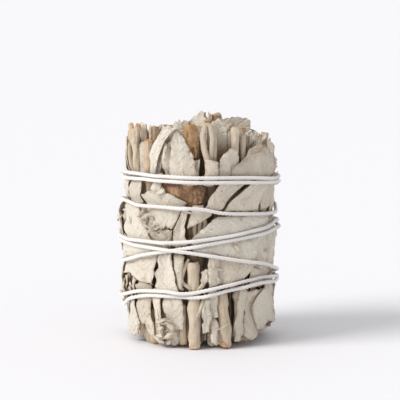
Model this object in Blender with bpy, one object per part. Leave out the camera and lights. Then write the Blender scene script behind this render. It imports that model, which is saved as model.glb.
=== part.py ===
"""A short bunch of dried white sage, cut square at both ends and bound with white cotton twine.

Sixteen leafy sprigs and one bare stem stand side by side. Each sprig is one solid: its stem, its folded
leaves pressed to a core, the leaf ends that stand out of that core, and the flat leaves pressed round the
outside of the bunch. Two brown leaves lie loose under the twine. The twine goes eight times round.

Places on the bunch are an angle round it (degrees from the front, towards +X), a height above the cut
ends and a radius from its axis. Sizes are in millimetres until solid() turns them into Blender's metres.

The outer leaves are laid on one after another. Each rests on what lies under it, so none cuts another,
and the cores are thinner where many leaves lie on them, so that the bunch comes out evenly round.
"""

import math
import random
from typing import NamedTuple

import bmesh
import bpy
import numpy as np
from mathutils import Vector
from mathutils.bvhtree import BVHTree

MM = 0.001

# Driving dimensions, in millimetres.
HEIGHT = 50.0
SKIN_RADIUS = 14.4
BARREL = 0.7
CORE_BOTTOM = 4.6
CORE_TOP = 40.5
CORE_LEVELS = [7.6, 17.0, 27.0, 36.5]
CORE_RADII = (10.4, 13.8)
LEVELLINGS = 3
SPRIG_GAP = 0.36
LEAF_GAP = 0.3
LEAF_THICKNESS = 0.6
LEAF_COLUMN = 4.6
LEAF_ROW = 5.4
ROOT_SUNK = 1.6
STEM_DIAMETER = 2.4
TWINE_DIAMETER = 0.85
TWINE_GAP = 0.3
INNER_RING = 5.3
INNER_SPRIG = 2.75

# Outer sprigs: where each one's cell ends on its right, in degrees, going round from the left side.
CELL_STARTS = [-102.5, -66.0, -37.0, -15.5, 7.5, 34.0, 67.0, 105.0, 143.0, 181.0, 219.0]
CELL_INNER = 8.3
CELL_SQUARENESS = 5.0
INNER_COUNT = 5

SAGE = (0.62, 0.57, 0.48, 1.0)
BROWN = (0.36, 0.22, 0.12, 1.0)
COTTON = (0.9, 0.88, 0.84, 1.0)


# Millimetres round the skin in one degree.
ARC = math.radians(16.0)


class Leaf(NamedTuple):
    """A leaf pressed on the outside. Its margins run from foot to tip as (angle, height).

    Leaves are laid on by layer, the lowest first.
    The tip and foot edges rise from the line between the margins by (share across, millimetres).
    """

    sprig: int
    layer: int
    left: list
    right: list
    root: tuple = None
    tip: tuple = ((0, 0), (0.5, 0.8), (1, 0))
    foot: tuple = ((0, 0), (0.5, -0.4), (1, 0))


class Twig(NamedTuple):
    """A stem or leaf stalk through points given as (angle, height, how far its axis is outside the core)."""

    sprig: int
    points: list
    diameter: float = STEM_DIAMETER


# The front of the bunch, from the top right to the bottom left.
FRONT_LEAVES = [
    # Above the top band of twine: a large torn leaf on the right, then the rest going left.
    Leaf(5, 1, [(26, 36.9), (24, 39.4)], [(87, 36.9), (89, 38.4)], (51, 38.6),
         ((0, 0), (0.15, 2.7), (0.26, 2.5), (0.29, 4.2), (0.40, 5.9), (0.60, 4.7), (0.66, 2.8), (0.84, 2.2), (1, 0)),
         ((0, 0), (1, 0))),
    Leaf(4, 0, [(14, 35.5), (15, 41.8)], [(33, 35.5), (31, 41.0), (29, 43.6)], (22, 38.0), ((0, 0), (0.6, 1.2), (1, 0))),
    Leaf(3, 1, [(2.5, 36.2), (3.5, 41.6)], [(12.6, 36.2), (12.8, 41.3)], (5.5, 38.2), ((0, 0), (0.5, 0.2), (1, 0))),
    Leaf(2, 1, [(-25, 36.4), (-24, 41), (-22, 46)], [(-8.5, 36.4), (-8.5, 43), (-12, 45.6)], (-19, 38.2),
         ((0, 0), (0.45, 2.4), (1, 0))),
    Leaf(1, 0, [(-41, 38), (-43, 43), (-33, 47.6)], [(-37, 38), (-34, 41.5), (-27, 45.6), (-19, 47.8)], (-40.6, 38.9),
         ((0, 0), (0.5, 0.5), (1, 0))),
    Leaf(6, 0, [(54, 38.6), (53, 45.6)], [(80, 38), (77, 44.9)], (72, 39.2), ((0, 0), (0.4, 0.9), (0.6, -0.6), (1, 0))),
    Leaf(0, 1, [(-96, 37.5), (-96, 43)], [(-77, 37.5), (-80, 44.5)], (-86, 38.8), ((0, 0), (0.6, 1.4), (1, 0))),
    # Between the top band and the second turn.
    Leaf(4, 2, [(4, 31.1), (8, 33.6), (14.5, 36.6)], [(16, 30.2), (24, 33.1), (41, 36.9)], (16.5, 33.2),
         ((0, 0), (0.5, 0.5), (1, 0)), ((0, 0), (0.5, -0.2), (1, 0))),
    Leaf(5, 2, [(18, 30.2), (25.5, 32.2), (44, 36.3)], [(49, 29.9), (50.5, 33), (57, 36.8)], (42, 32.6),
         ((0, 0), (0.5, 0.4), (1, 0)), ((0, 0), (0.5, -0.2), (1, 0))),
    Leaf(5, 1, [(52, 30), (51.5, 33), (57, 36.8)], [(69, 30), (71.5, 33.4), (69.5, 36.8)], (61, 33.6),
         ((0, 0), (0.5, 0.2), (1, 0)), ((0, 0), (0.5, -0.2), (1, 0))),
    Leaf(6, 1, [(75, 28.8), (74.5, 36.8)], [(94, 29), (96, 36.8)], (84, 33), ((0, 0), (1, 0))),
    Leaf(2, 2, [(-36, 25.6), (-40, 28), (-43, 30.5), (-54, 33.2)], [(-21.5, 26.6), (-15.5, 30), (-10.5, 32.2)],
         (-28, 28.2), ((0, 0), (0.25, 1.4), (0.55, 2.2), (0.8, 1.2), (1, 0)), ((0, 0), (0.5, 0.5), (1, 0))),
    Leaf(1, 1, [(-43, 33.6), (-39.5, 36), (-35, 38)], [(-32, 33.6), (-30.5, 38)], (-39, 34.6)),
    Leaf(0, 1, [(-96, 31.8), (-95, 36.8)], [(-79, 32), (-77, 36.8)], (-86, 34.4), ((0, 0), (0.5, 0.3), (1, 0))),
    Leaf(1, 0, [(-73, 30.8), (-72, 36.8)], [(-56, 31.4), (-55, 37.2)], (-60, 34), ((0, 0), (0.3, 0.9), (0.6, -0.5), (1, 0))),
    # Between the second turn and the crossing turns.
    Leaf(0, 1, [(-96, 21.8), (-96, 31.2)], [(-42, 21.8), (-43, 24.4), (-48, 26.8), (-55, 28.8), (-57, 30.8)],
         (-80, 27), ((0, 0), (0.5, 0.2), (1, 0)), ((0, 0), (1, 0))),
    Leaf(1, 2, [(-51.5, 27.4), (-52.5, 29)], [(-44, 27.6), (-44.6, 29.4)], (-48, 28.6), ((0, 0), (0.5, 0.9), (1, 0)),
         ((0, 0), (0.5, -0.7), (1, 0))),
    Leaf(2, 1, [(-38.5, 22.2), (-39, 25.2)], [(-25, 22.2), (-22, 25.8)], (-30, 24), ((0, 0), (0.5, 0.4), (1, 0)),
         ((0, 0), (1, 0))),
    Leaf(2, 2, [(-24.5, 22.8), (-20, 26), (-13, 31.2)], [(-10.5, 22.8), (-11.5, 26.5), (-8, 31.2)], (-17.5, 25.4),
         ((0, 0), (1, 0)), ((0, 0), (1, 0))),
    Leaf(3, 1, [(-10, 26.7), (-7, 31.4)], [(9, 29.4), (10, 31.4)], (-4.5, 28.6), ((0, 0), (1, 0)), ((0, 0), (1, 0))),
    Leaf(6, 2, [(88, 25.0), (52, 22.8), (44, 19.2), (30, 19.6), (10, 20.8), (-5, 21.4)],
         [(88, 28.2), (50, 29.0), (23, 29.3), (12, 28.8), (3, 27), (-7, 24.3)], (77, 27), ((0, 0), (1, 0)),
         ((0, 0), (1, 0))),
    Leaf(6, 1, [(51, 18.6), (51, 25)], [(92, 16), (92, 25)], (84, 19.4), ((0, 0), (1, 0)), ((0, 0), (0.4, -1.2), (1, 0))),
    Leaf(0, 2, [(-98, 16.8), (-60, 19.5), (-42, 20.9), (-26, 22.0)], [(-98, 23.2), (-60, 23.4), (-42, 23.4), (-27, 23.2)],
         (-79, 20.4), ((0, 0), (1, 0)), ((0, 0), (1, 0))),
    # Between the crossing turns and the bottom band.
    Leaf(1, 1, [(-90, 14.4), (-72, 15.2), (-57, 14.6), (-41, 13.8)], [(-88, 18.4), (-60, 19.6), (-36, 20.6)],
         (-50, 17.2), ((0, 0), (1, 0)), ((0, 0), (1, 0))),
    Leaf(2, 2, [(-37.5, 12.4), (-36.5, 16), (-34, 20.6)], [(-16.5, 12.4), (-19, 16), (-22, 21.2)], (-27, 15.4),
         ((0, 0), (1, 0)), ((0, 0), (1, 0))),
    Leaf(2, 0, [(-21, 13.4), (-20.5, 20.6)], [(-13, 13.4), (-12.5, 20.6)], (-19.4, 16.4)),
    Leaf(3, 0, [(0.6, 15), (0.6, 17.8)], [(6, 15.2), (6.4, 17.6)], (3.4, 16.4)),
    Leaf(4, 2, [(6.5, 13.8), (5.6, 17), (7, 19.2)], [(16.5, 14.6), (14, 17), (15, 19.2)], (9.6, 16.6)),
    Leaf(4, 1, [(13, 14.2), (14, 20.6)], [(36, 15.4), (48, 18.6), (48, 20.4)], (25, 17.4), ((0, 0), (1, 0)),
         ((0, 0), (0.5, -0.4), (1, 0))),
    Leaf(6, 0, [(42, 13.2), (42, 17.4)], [(96, 12.8), (96, 18.4)], (76, 15), ((0, 0), (1, 0)), ((0, 0), (0.3, -0.4), (1, 0))),
    # Below the bottom band.
    Leaf(2, 0, [(-31, 2.2), (-31.5, 7), (-31, 12.7)], [(-13.5, 4.4), (-14, 8), (-14, 12.7)], (-23, 9),
         ((0, 0), (1, 0)), ((0, 0), (0.3, 0.9), (0.6, 0.5), (1, 0))),
    Leaf(1, 1, [(-36.5, 1.0), (-38, 6), (-44, 12.8)], [(-32.5, 1.0), (-32.5, 6), (-33, 12.8)], (-40.6, 10.8),
         ((0, 0), (1, 0))),
    Leaf(1, 2, [(-46, 2.4), (-50.5, 4.6), (-46, 7)], [(-41, 2.4), (-40.6, 4.6), (-43.4, 7)], (-45.4, 5)),
    Leaf(0, 2, [(-75, 1.4), (-74, 5), (-68, 10)], [(-61, 2.2), (-56.5, 5), (-62, 9.6)], (-69.4, 6)),
    Leaf(0, 1, [(-97, 2.6), (-97, 12.8)], [(-78, 1.6), (-76.5, 12.4)], (-86, 7)),
    Leaf(1, 0, [(-62, 4.6), (-60, 13.4)], [(-45, 5.6), (-44.6, 13.4)], (-53, 10)),
    Leaf(3, 1, [(2, 3.8), (1.6, 8), (3.2, 11)], [(7, 4.2), (8.4, 7), (6, 11)], (3.8, 8)),
    Leaf(4, 0, [(8.4, 1.4), (8.2, 6.6)], [(13.2, 1.2), (13, 6.6)], (10.6, 6.0)),
    Leaf(4, 0, [(6.4, 7.4), (5.6, 12.6)], [(13.6, 7.4), (12.6, 12.8)], (9.6, 10)),
    Leaf(4, 1, [(28, 1.6), (27.4, 6), (31, 13.4)], [(33.6, 1.6), (35.6, 6), (36.8, 13.4)], (31, 9)),
    Leaf(5, 2, [(49, 3.7), (43, 8), (46.5, 11), (55, 13)], [(60, 4.4), (67, 7.6), (65, 11), (58, 13)], (54, 8)),
    Leaf(6, 1, [(61, 5), (61, 14.4)], [(92, 3.2), (96, 14.4)], (82, 9)),
    Leaf(5, 0, [(37, 2.2), (37.4, 12.6)], [(52, 1.8), (55, 12.4)], (44, 7.6), ((0, 0), (1, 0)), ((0, 0), (0.5, -0.6), (1, 0))),
]

# Two dead brown leaves that hang on no stem.
BROWN_LEAVES = {
    "brown_leaf_front": Leaf(-1, 0, [(-33, 30.2), (-34, 37.2)], [(1, 30.4), (4.5, 37.2)], None, ((0, 0), (1, 0)),
                             ((0, 0), (0.4, -1.0), (1, 0))),
    "brown_leaf_top": Leaf(-1, 0, [(-13, 35.2), (-14, 42.6), (-13.4, 48.6)], [(-6, 35.2), (-3.4, 42), (-2.4, 48.2)],
                           None, ((0, 0), (0.5, 0.6), (1, 0))),
}

# Stems stand at the cut ends or run up the outside. The first ones are those that show at the front.
TWIGS = [
    Twig(3, [(-4.9, 0, 0.8), (-4.9, 2, 0.8), (-5.4, 10, 0.8), (-5.8, 19.4, 0.6)], 2.7),
    Twig(3, [(-6, 13.4, 0.9), (-13.2, 14.8, 0.4), (-13.8, 17, 0.3), (-9.6, 20, -0.2)], 0.9),
    Twig(3, [(-4, 12.6, 0.9), (1, 14.2, 0.4), (4.6, 16.2, -0.3)], 1.0),
    Twig(3, [(-4, 6.6, 0.9), (0.4, 9.4, 0.6), (4.8, 12.4, -0.3)], 1.0),
    Twig(3, [(-4.4, 21.6, 0.1), (-4.2, 30, 0.1)], 1.0),
    Twig(3, [(-0.6, 21.6, 0.2), (-0.8, 30, 0.1)], 0.9),
    Twig(3, [(3.4, 21.6, 0.1), (3.0, 30, 0.1)], 1.0),
    Twig(4, [(21, 0.6, 0.7), (21, 2, 0.7), (18.5, 8, 0.7), (16.8, 12.6, 0.3)], 2.5),
    Twig(1, [(-49, 0, -0.6), (-49, 2, -0.6), (-49.5, 8, -0.8)], 2.2),
    Twig(1, [(-49, 35, -0.2), (-49, 45.2, 0.7)], 2.2),
    Twig(1, [(-53, 36, -2.3), (-53, 48, -1.7)], 2.2),
    Twig(0, [(-70, 34, -0.5), (-68.5, 41, 0.4), (-71, 47.8, 0.6)], 1.9),
    Twig(0, [(-74, 36, -0.3), (-77, 41, 0.6), (-86, 46.4, 1.2)], 1.0),
    Twig(3, [(2.0, 38.7, 0.0), (3.8, 45.4, 1.5), (3.0, 49.8, 1.4)], 1.9),
    Twig(4, [(11.8, 38, -1.0), (10.8, 45.4, -0.1), (10.6, 49.4, -0.2)], 1.3),
    Twig(4, [(29.0, 35, -0.8), (29.0, 48.6, 0.1)], 1.7),
    Twig(5, [(38.6, 36, -0.8), (38.6, 47.0, 0.2)], 1.2),
]

# The other sprigs' stems stand upright through their cores: (sprig, angle, radius, low end, high end).
UPRIGHT_STEMS = [
    (0, -84, 10.6, 0.0, 46.0),
    (2, -25, 10.4, 0.9, 48.4),
    (5, 48, 10.8, 0.0, 46.4),
    (6, 86, 10.8, 2.2, 43.6),
    (7, 124, 10.6, 0.6, 47.2),
    (8, 162, 10.9, 0.0, 50.0),
    (9, 200, 10.7, 0.0, 49.0),
    (10, 238, 10.6, 0.0, 45.4),
]

# How high the leaf ends stand round the bunch, as (angle, top, foot).
ENDS = [
    (-180, 48.4, 1.0),
    (-150, 46.0, 0.8),
    (-120, 45.2, 1.0),
    (-90, 46.4, 1.2),
    (-70, 47.4, 1.0),
    (-45, 46.4, 1.0),
    (-20, 48.2, 1.0),
    (0, 47.2, 0.8),
    (30, 48.6, 1.0),
    (50, 45.8, 1.2),
    (75, 43.0, 3.4),
    (95, 42.6, 3.6),
    (115, 45.4, 1.6),
    (150, 48.0, 1.0),
    (180, 48.4, 1.0),
]

# The twine's turns across the front, each from left to right as (angle, height), in the order it is wound.
TURNS = [
    [(-88, 9.8), (-54, 12.0), (-28, 12.7), (-9, 12.6), (10, 13.7), (30, 14.6), (53, 14.9), (87, 14.0)],
    [(-88, 7.7), (-62, 10.2), (-42, 11.4), (-20, 11.7), (-1, 11.8), (22, 13.1), (53, 13.9), (87, 13.0)],
    [(-88, 17.4), (-42, 20.6), (-20, 21.9), (-1, 22.9), (22, 23.8), (52, 24.7), (87, 25.1)],
    [(-88, 31.1), (-42, 31.1), (-20, 31.1), (-1, 31.0), (15, 30.0), (34, 29.5), (87, 28.9)],
    [(-88, 37.2), (-42, 37.8), (-1, 37.7), (39, 37.3), (87, 36.1)],
    [(-88, 36.2), (-42, 36.8), (-1, 36.7), (39, 36.3), (87, 35.1)],
    [(-88, 23.4), (-42, 23.4), (-20, 23.6), (-1, 24.1), (22, 24.8), (52, 25.9), (87, 26.3)],
    [(-88, 22.4), (-42, 22.1), (-20, 21.9), (6, 20.8), (34, 19.2), (57, 17.9), (87, 15.4)],
]
KNOT_ANGLE = 180.0
KNOT_HEIGHT = 11.0
# The knot's two tails, as (angle from the knot, height from it, lift).
TAILS = {
    "left": [(3, -0.4, 0.1), (1, 0.7, 0.5), (-3, 0.1, 0.6), (-3.6, -3.2, 0.5), (-8, -6.8, 0.5)],
    "right": [(-3, -0.3, 0.0), (-1, 0.6, 0.9), (3, 0.2, 1.2), (3.4, -3.0, 0.7), (7, -6.2, 0.6)],
}
FINE_STEP = 3.0
TWINE_STEP = 15.0


def swell(angle, height):
    """How far the skin of the bunch stands out from a plain cylinder there."""
    a = math.radians(angle)
    middle = HEIGHT / 2
    barrel = -BARREL * ((height - middle) / middle) ** 2
    lumps = 0.26 * math.sin(3 * a + 0.9) + 0.2 * math.sin(5 * a + height / 9) + 0.14 * math.sin(8 * a - height / 6)
    return barrel + lumps


def place(angle, height, radius):
    a = math.radians(angle)
    return Vector((radius * math.sin(a), -radius * math.cos(a), height))


def through(points, share):
    """A point at this share of a smooth curve through the given points."""
    last = len(points) - 1
    at = min(max(share, 0.0), 1.0) * last
    i = min(int(at), last - 1)
    t = at - i
    p1, p2 = points[i], points[i + 1]
    p0 = points[i - 1] if i else tuple(2 * a - b for a, b in zip(p1, p2))
    p3 = points[i + 2] if i + 2 <= last else tuple(2 * b - a for a, b in zip(p1, p2))
    return tuple(
        0.5 * (2 * b + (c - a) * t + (2 * a - 5 * b + 4 * c - d) * t * t + (3 * b - a - 3 * c + d) * t ** 3)
        for a, b, c, d in zip(p0, p1, p2, p3)
    )


def between(profile, share):
    """The height of a straight-line profile of (share, height) points at this share."""
    for (a, low), (b, high) in zip(profile, profile[1:]):
        if share <= b:
            return low + (high - low) * (share - a) / (b - a)
    return profile[-1][1]


def solid(name, points, faces):
    """A mesh object from points in millimetres, with its faces pointing out."""
    mesh = bpy.data.meshes.new(name)
    bm = bmesh.new()
    verts = [bm.verts.new(Vector(p) * MM) for p in points]
    for face in faces:
        bm.faces.new([verts[i] for i in face])
    bmesh.ops.recalc_face_normals(bm, faces=bm.faces)
    if bm.calc_volume(signed=True) < 0:
        bmesh.ops.reverse_faces(bm, faces=bm.faces)
    bm.to_mesh(mesh)
    bm.free()
    obj = bpy.data.objects.new(name, mesh)
    bpy.context.scene.collection.objects.link(obj)
    return obj


def shell(name, outer, inner):
    """The closed solid between two like grids of points, split into triangles alike on both faces."""
    rows, columns = len(outer), len(outer[0])
    points = [p for grid in (outer, inner) for row in grid for p in row]
    back = rows * columns
    faces = []
    for i in range(rows - 1):
        for j in range(columns - 1):
            a, b = i * columns + j, i * columns + j + 1
            c, d = b + columns, a + columns
            faces += [(a, b, c), (a, c, d), (back + c, back + b, back + a), (back + d, back + c, back + a)]
    rim = list(range(columns))
    rim += [i * columns + columns - 1 for i in range(1, rows)]
    rim += [(rows - 1) * columns + j for j in range(columns - 2, -1, -1)]
    rim += [i * columns for i in range(rows - 2, 0, -1)]
    for a, b in zip(rim, rim[1:] + rim[:1]):
        faces += [(b, a, back + a), (b, back + a, back + b)]
    return solid(name, points, faces)


def loft(name, rings):
    """A closed solid through like rings of points, with flat ends."""
    count = len(rings[0])
    points = [p for ring in rings for p in ring]
    faces = []
    for k in range(len(rings) - 1):
        for i in range(count):
            j = (i + 1) % count
            a, b = k * count + i, k * count + j
            faces += [(a, b, b + count), (a, b + count, a + count)]
    faces.append(tuple(range(count - 1, -1, -1)))
    faces.append(tuple((len(rings) - 1) * count + i for i in range(count)))
    return solid(name, points, faces)


def tube(name, path, diameter, sides):
    """A round bar along a path of points. Its ends are square to it, but a stem's are cut level at the bunch's ends."""
    rings = []
    side = None
    for i, point in enumerate(path):
        ahead = (Vector(path[min(i + 1, len(path) - 1)]) - Vector(path[max(i - 1, 0)])).normalized()
        if i in (0, len(path) - 1) and abs(ahead.z) > 0.7 and not 3 < point[2] < HEIGHT - 8:
            ahead = Vector((0, 0, 1))
        if side is None:
            side = ahead.orthogonal().normalized()
        side = (side - ahead * side.dot(ahead)).normalized()
        up = ahead.cross(side)
        turns = [2 * math.pi * k / sides for k in range(sides)]
        rings.append([Vector(point) + (side * math.cos(t) + up * math.sin(t)) * diameter / 2 for t in turns])
    return loft(name, rings)


def leaf_columns(leaf, width):
    """Shares across a leaf where its grid has a column: evenly spaced, or where a torn edge turns."""
    if len(leaf.tip) > 5:
        return [share for share, _ in leaf.tip]
    count = max(2, round(width / LEAF_COLUMN))
    return [k / count for k in range(count + 1)]


def leaf_outline(leaf):
    """The leaf's rows of (angle, height) on the skin, from foot to tip."""

    def span(a, b):
        return math.hypot((a[0] - b[0]) * ARC, a[1] - b[1])

    middles = [((a[0] + b[0]) / 2, (a[1] + b[1]) / 2) for a, b in ((leaf.left[0], leaf.right[0]), (leaf.left[-1], leaf.right[-1]))]
    length = span(*middles)
    width = max(span(through(leaf.left, s), through(leaf.right, s)) for s in (0, 0.5, 1))
    rows = max(2, round(length / LEAF_ROW), min(3, len(leaf.left) - 1))
    blunt = [min(1.0, span(leaf.left[end], leaf.right[end]) / 3.0) for end in (0, -1)]
    run = ((middles[1][0] - middles[0][0]) * ARC / length, (middles[1][1] - middles[0][1]) / length)
    grid = []
    for i in range(rows + 1):
        share = i / rows
        left, right = through(leaf.left, share), through(leaf.right, share)
        row = []
        for across in leaf_columns(leaf, width):
            rise = between(leaf.tip, across) * share * blunt[1] + between(leaf.foot, across) * (1 - share) * blunt[0]
            angle = left[0] + (right[0] - left[0]) * across + rise * run[0] / ARC
            row.append((angle, left[1] + (right[1] - left[1]) * across + rise * run[1]))
        grid.append(row)
    return grid


class Pile:
    """How far out the cores, and what is laid on them, reach: a grid of angles and of heights `rise` apart."""

    turn = 240
    rise = 0.5
    rows = 108

    def __init__(self):
        angles = np.arange(self.turn)[:, None] * 360 / self.turn
        self.heights = np.arange(self.rows) * self.rise
        self.skin = SKIN_RADIUS + np.vectorize(swell)(angles, self.heights[None, :])
        self.core = np.full_like(self.skin, sum(CORE_RADII) / 2)
        self.reach = self.core + LEAF_GAP

    def level(self):
        """Moves the cores in or out by how far the pile is over or under the skin, then clears the pile."""
        short = self.skin - self.reach + LEAF_GAP
        for axis, span in ((0, 6), (1, 6)):
            short = sum(self.windows(short, axis, span)) / (2 * span + 1)
        wanted = np.clip(self.core + short, *CORE_RADII)
        at_levels = wanted[:, [round(z / self.rise) for z in CORE_LEVELS]]
        self.core = np.array([np.interp(self.heights, CORE_LEVELS, row) for row in at_levels])
        self.reach = self.core + LEAF_GAP

    @staticmethod
    def windows(grid, axis, span):
        """The grid moved by each step up to the span along this axis, with the ends of a turn joined."""
        if axis == 0:
            padded = np.pad(grid, ((span, span), (0, 0)), "wrap")
        else:
            padded = np.pad(grid, ((0, 0), (span, span)), "edge")
        return [np.take(padded, range(k, k + grid.shape[axis]), axis) for k in range(2 * span + 1)]

    def cell(self, angle, height):
        i = np.round(np.asarray(angle) * self.turn / 360).astype(int) % self.turn
        j = np.clip(np.round(np.asarray(height) / self.rise).astype(int), 0, self.rows - 1)
        return i, j

    def samples(self, outline, i, j):
        """Even samples over one quad of an outline, with their shares down and across it."""
        corners = [outline[i][j], outline[i][j + 1], outline[i + 1][j], outline[i + 1][j + 1]]
        size = max(math.hypot((p[0] - q[0]) * ARC, p[1] - q[1]) for p in corners for q in corners)
        share = np.linspace(0, 1, max(3, math.ceil(size / 0.3)))
        down, across = np.meshgrid(share, share, indexing="ij")
        a, b, c, d = (np.array(p) for p in corners)
        at = np.multiply.outer((1 - down) * (1 - across), a) + np.multiply.outer((1 - down) * across, b)
        at += np.multiply.outer(down * (1 - across), c) + np.multiply.outer(down * across, d)
        return self.cell(at[..., 0], at[..., 1]), down, across

    def widest(self):
        """The reach with each cell raised to the highest next to it."""
        wide = self.reach
        for axis in (0, 1):
            wide = np.maximum.reduce(self.windows(wide, axis, 1))
        return wide

    def lay(self, outline):
        """The radii at which a leaf of this outline rests on the pile, which then reaches over it."""
        wide = self.widest()
        rows, columns = len(outline), len(outline[0])
        radii = np.zeros((rows, columns))
        for i in range(rows - 1):
            for j in range(columns - 1):
                top = wide[self.samples(outline, i, j)[0]].max()
                radii[i:i + 2, j:j + 2] = np.maximum(radii[i:i + 2, j:j + 2], top)
        for i in range(rows - 1):
            for j in range(columns - 1):
                where, down, across = self.samples(outline, i, j)
                r = radii[i:i + 2, j:j + 2]
                over = (r[0, 0] * (1 - across) + r[0, 1] * across) * (1 - down)
                over += (r[1, 0] * (1 - across) + r[1, 1] * across) * down
                np.maximum.at(self.reach, where, over + LEAF_THICKNESS + LEAF_GAP)
        return radii

    def lay_bar(self, path, diameter):
        """Raises the reach over a bar along (angle, height, radius) points."""
        half = diameter / 2
        for p, q in zip(path, path[1:]):
            for share in np.linspace(0, 1, 40):
                angle, height, radius = (a + (b - a) * share for a, b in zip(p, q))
                for off in np.linspace(-half, half, 9):
                    for sign in (-1, 0, 1):
                        where = self.cell(angle + off / ARC, height + sign * half * 0.7)
                        self.reach[where] = max(self.reach[where], radius + half + LEAF_GAP)

    def core_at(self, angle, height):
        """The cores' surface there, kept under the lowest of the pile near by."""
        lows = [self.core[self.cell(angle + a, height + z)] for a in (-6, 0, 6) for z in (-2, 0, 2)]
        return float(min(lows))


def pressed_leaf(name, outline, radii):
    """A leaf blade laid on the bunch, split alike on both faces."""
    grids = []
    for more in (LEAF_THICKNESS, 0):
        grids.append([[place(*at, r + more) for at, r in zip(*row)] for row in zip(outline, radii)])
    return shell(name, *grids)


def root_of(name, leaf, outline, radii, pile):
    """The short stalk that sinks from inside a leaf into its sprig's core."""
    angle, height = leaf.root
    near = min(
        (math.hypot((at[0] - angle) * ARC, at[1] - height), r) for row in zip(outline, radii) for at, r in zip(*row)
    )
    path = [place(angle, height, pile.core_at(angle, height) - ROOT_SUNK), place(angle, height, near[1] + LEAF_THICKNESS / 2)]
    return tube(name, path, 1.0, 5)


class Cell(NamedTuple):
    """The room that one sprig has in the bunch's cross-section."""

    outer: bool
    angle: float
    half_angle: float
    pile: Pile

    def lowest(self, height):
        """The lowest of the cores' surface across the cell at this height."""
        return min(self.pile.core_at(self.angle + self.half_angle * k / 4, height) for k in range(-4, 5))

    def point(self, turn, scale, height, high=None):
        """A point of the cell's outline, shrunk about its middle. Its outer side is at `high` or on the cores."""
        c, s = math.cos(turn), math.sin(turn)
        if not self.outer:
            middle = place(self.angle, height, INNER_RING)
            return middle + Vector((c, s, 0)) * INNER_SPRIG * scale
        power = 2 / CELL_SQUARENESS
        along = math.copysign(abs(c) ** power, c)
        out = math.copysign(abs(s) ** power, s)
        if high is None:
            high = self.pile.core_at(self.angle + self.half_angle * along, min(max(height, 6), 38))
        radius = (CELL_INNER + high) / 2 + (high - CELL_INNER) / 2 * out * scale
        half = self.half_angle - math.degrees(SPRIG_GAP / 2 / radius)
        return place(self.angle + half * along * scale, height, radius)


def core(name, cell, sides):
    """The pressed mass of folded leaves inside a sprig, narrowed at both ends."""
    levels = [(CORE_BOTTOM, 0.72), *((z, 1.0) for z in CORE_LEVELS), (CORE_TOP, 0.75)]
    turns = [2 * math.pi * (k + 0.5) / sides for k in range(sides)]
    return loft(name, [[cell.point(t, scale, z) for t in turns] for z, scale in levels])


def fold(name, cell, scale, start, sweep, low, high, lean):
    """A leaf end that stands out of the core: a blade curved round the middle of its cell."""
    inner_scale = scale - LEAF_THICKNESS / (INNER_SPRIG if not cell.outer else 2.7)
    reach = cell.lowest(low)
    steps = 3
    grids = []
    for size in (scale, inner_scale):
        rows = []
        for share in (0.0, 1.0):
            row = []
            for k in range(steps + 1):
                across = k / steps
                crown = math.sin(math.pi * across) * 1.1 + lean * (across - 0.5)
                height = low + (high - low) * share + crown * share * (1 if high > low else -1)
                height = min(max(height, 0.4), HEIGHT - 0.4)
                row.append(cell.point(start + sweep * across, size * (1 - 0.05 * share), height, reach))
            rows.append(row)
        grids.append(rows)
    return shell(name, *grids)


def ends_at(angle):
    """How high the leaf ends stand at this angle: top and foot."""
    angle = (angle + 180) % 360 - 180
    top = between([(a, t) for a, t, _ in ENDS], angle)
    foot = between([(a, f) for a, _, f in ENDS], angle)
    return top, foot


def folds_of(cell, draw, prefix):
    """The leaf ends above and below one sprig's core."""
    made = []
    scales = (0.9, 0.5) if cell.outer else (0.86, 0.46)
    top, foot = ends_at(cell.angle) if cell.outer else (47.6, 1.0)
    for end, low in (("top", CORE_TOP - 2.5), ("foot", CORE_BOTTOM + 2.5)):
        for ring, scale in enumerate(scales):
            if ring == 1 and (end == "foot" or not cell.outer):
                continue
            count = 2 if ring == 0 else 1
            for k in range(count):
                start = draw.uniform(0, 1.2) + k * math.pi + ring * 1.9
                sweep = draw.uniform(2.2, 2.8) if ring == 0 else draw.uniform(2.6, 3.4)
                high = top - draw.uniform(0.4, 3.2) if end == "top" else foot + draw.uniform(0.4, 1.8)
                name = f"{prefix}_{end}_{ring}{k}"
                made.append(fold(name, cell, scale, start, sweep, low, high, draw.uniform(-1.6, 1.6)))
    return made


def broad_leaf(sprig, layer, box, heading, draw):
    """An oval leaf that leans in an (angle, height) box, with slightly waved margins."""
    (left, right), (low, high) = box
    middle = ((left + right) / 2, (low + high) / 2)
    wide, tall = (right - left) * ARC, high - low
    h = math.radians(heading)
    width = 0.78 * min(wide, tall)
    length = min(wide / max(abs(math.sin(h)), 0.3), tall / max(abs(math.cos(h)), 0.3)) * 0.98
    forms = ((0.0, 0.42), (0.25, 0.9), (0.5, 1.0), (0.76, 0.8), (1.0, 0.26))
    margins = []
    for side in (-1, 1):
        margin = []
        for share, half in forms:
            run, off = (share - 0.5) * length, side * half * width / 2 * draw.uniform(0.92, 1.08)
            x = run * math.sin(h) + off * math.cos(h)
            y = run * math.cos(h) - off * math.sin(h)
            margin.append((middle[0] + x / ARC, middle[1] + y))
        margins.append(margin)
    return Leaf(sprig, layer, *margins, middle, ((0, 0), (0.5, 0.6), (1, 0)))


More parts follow.
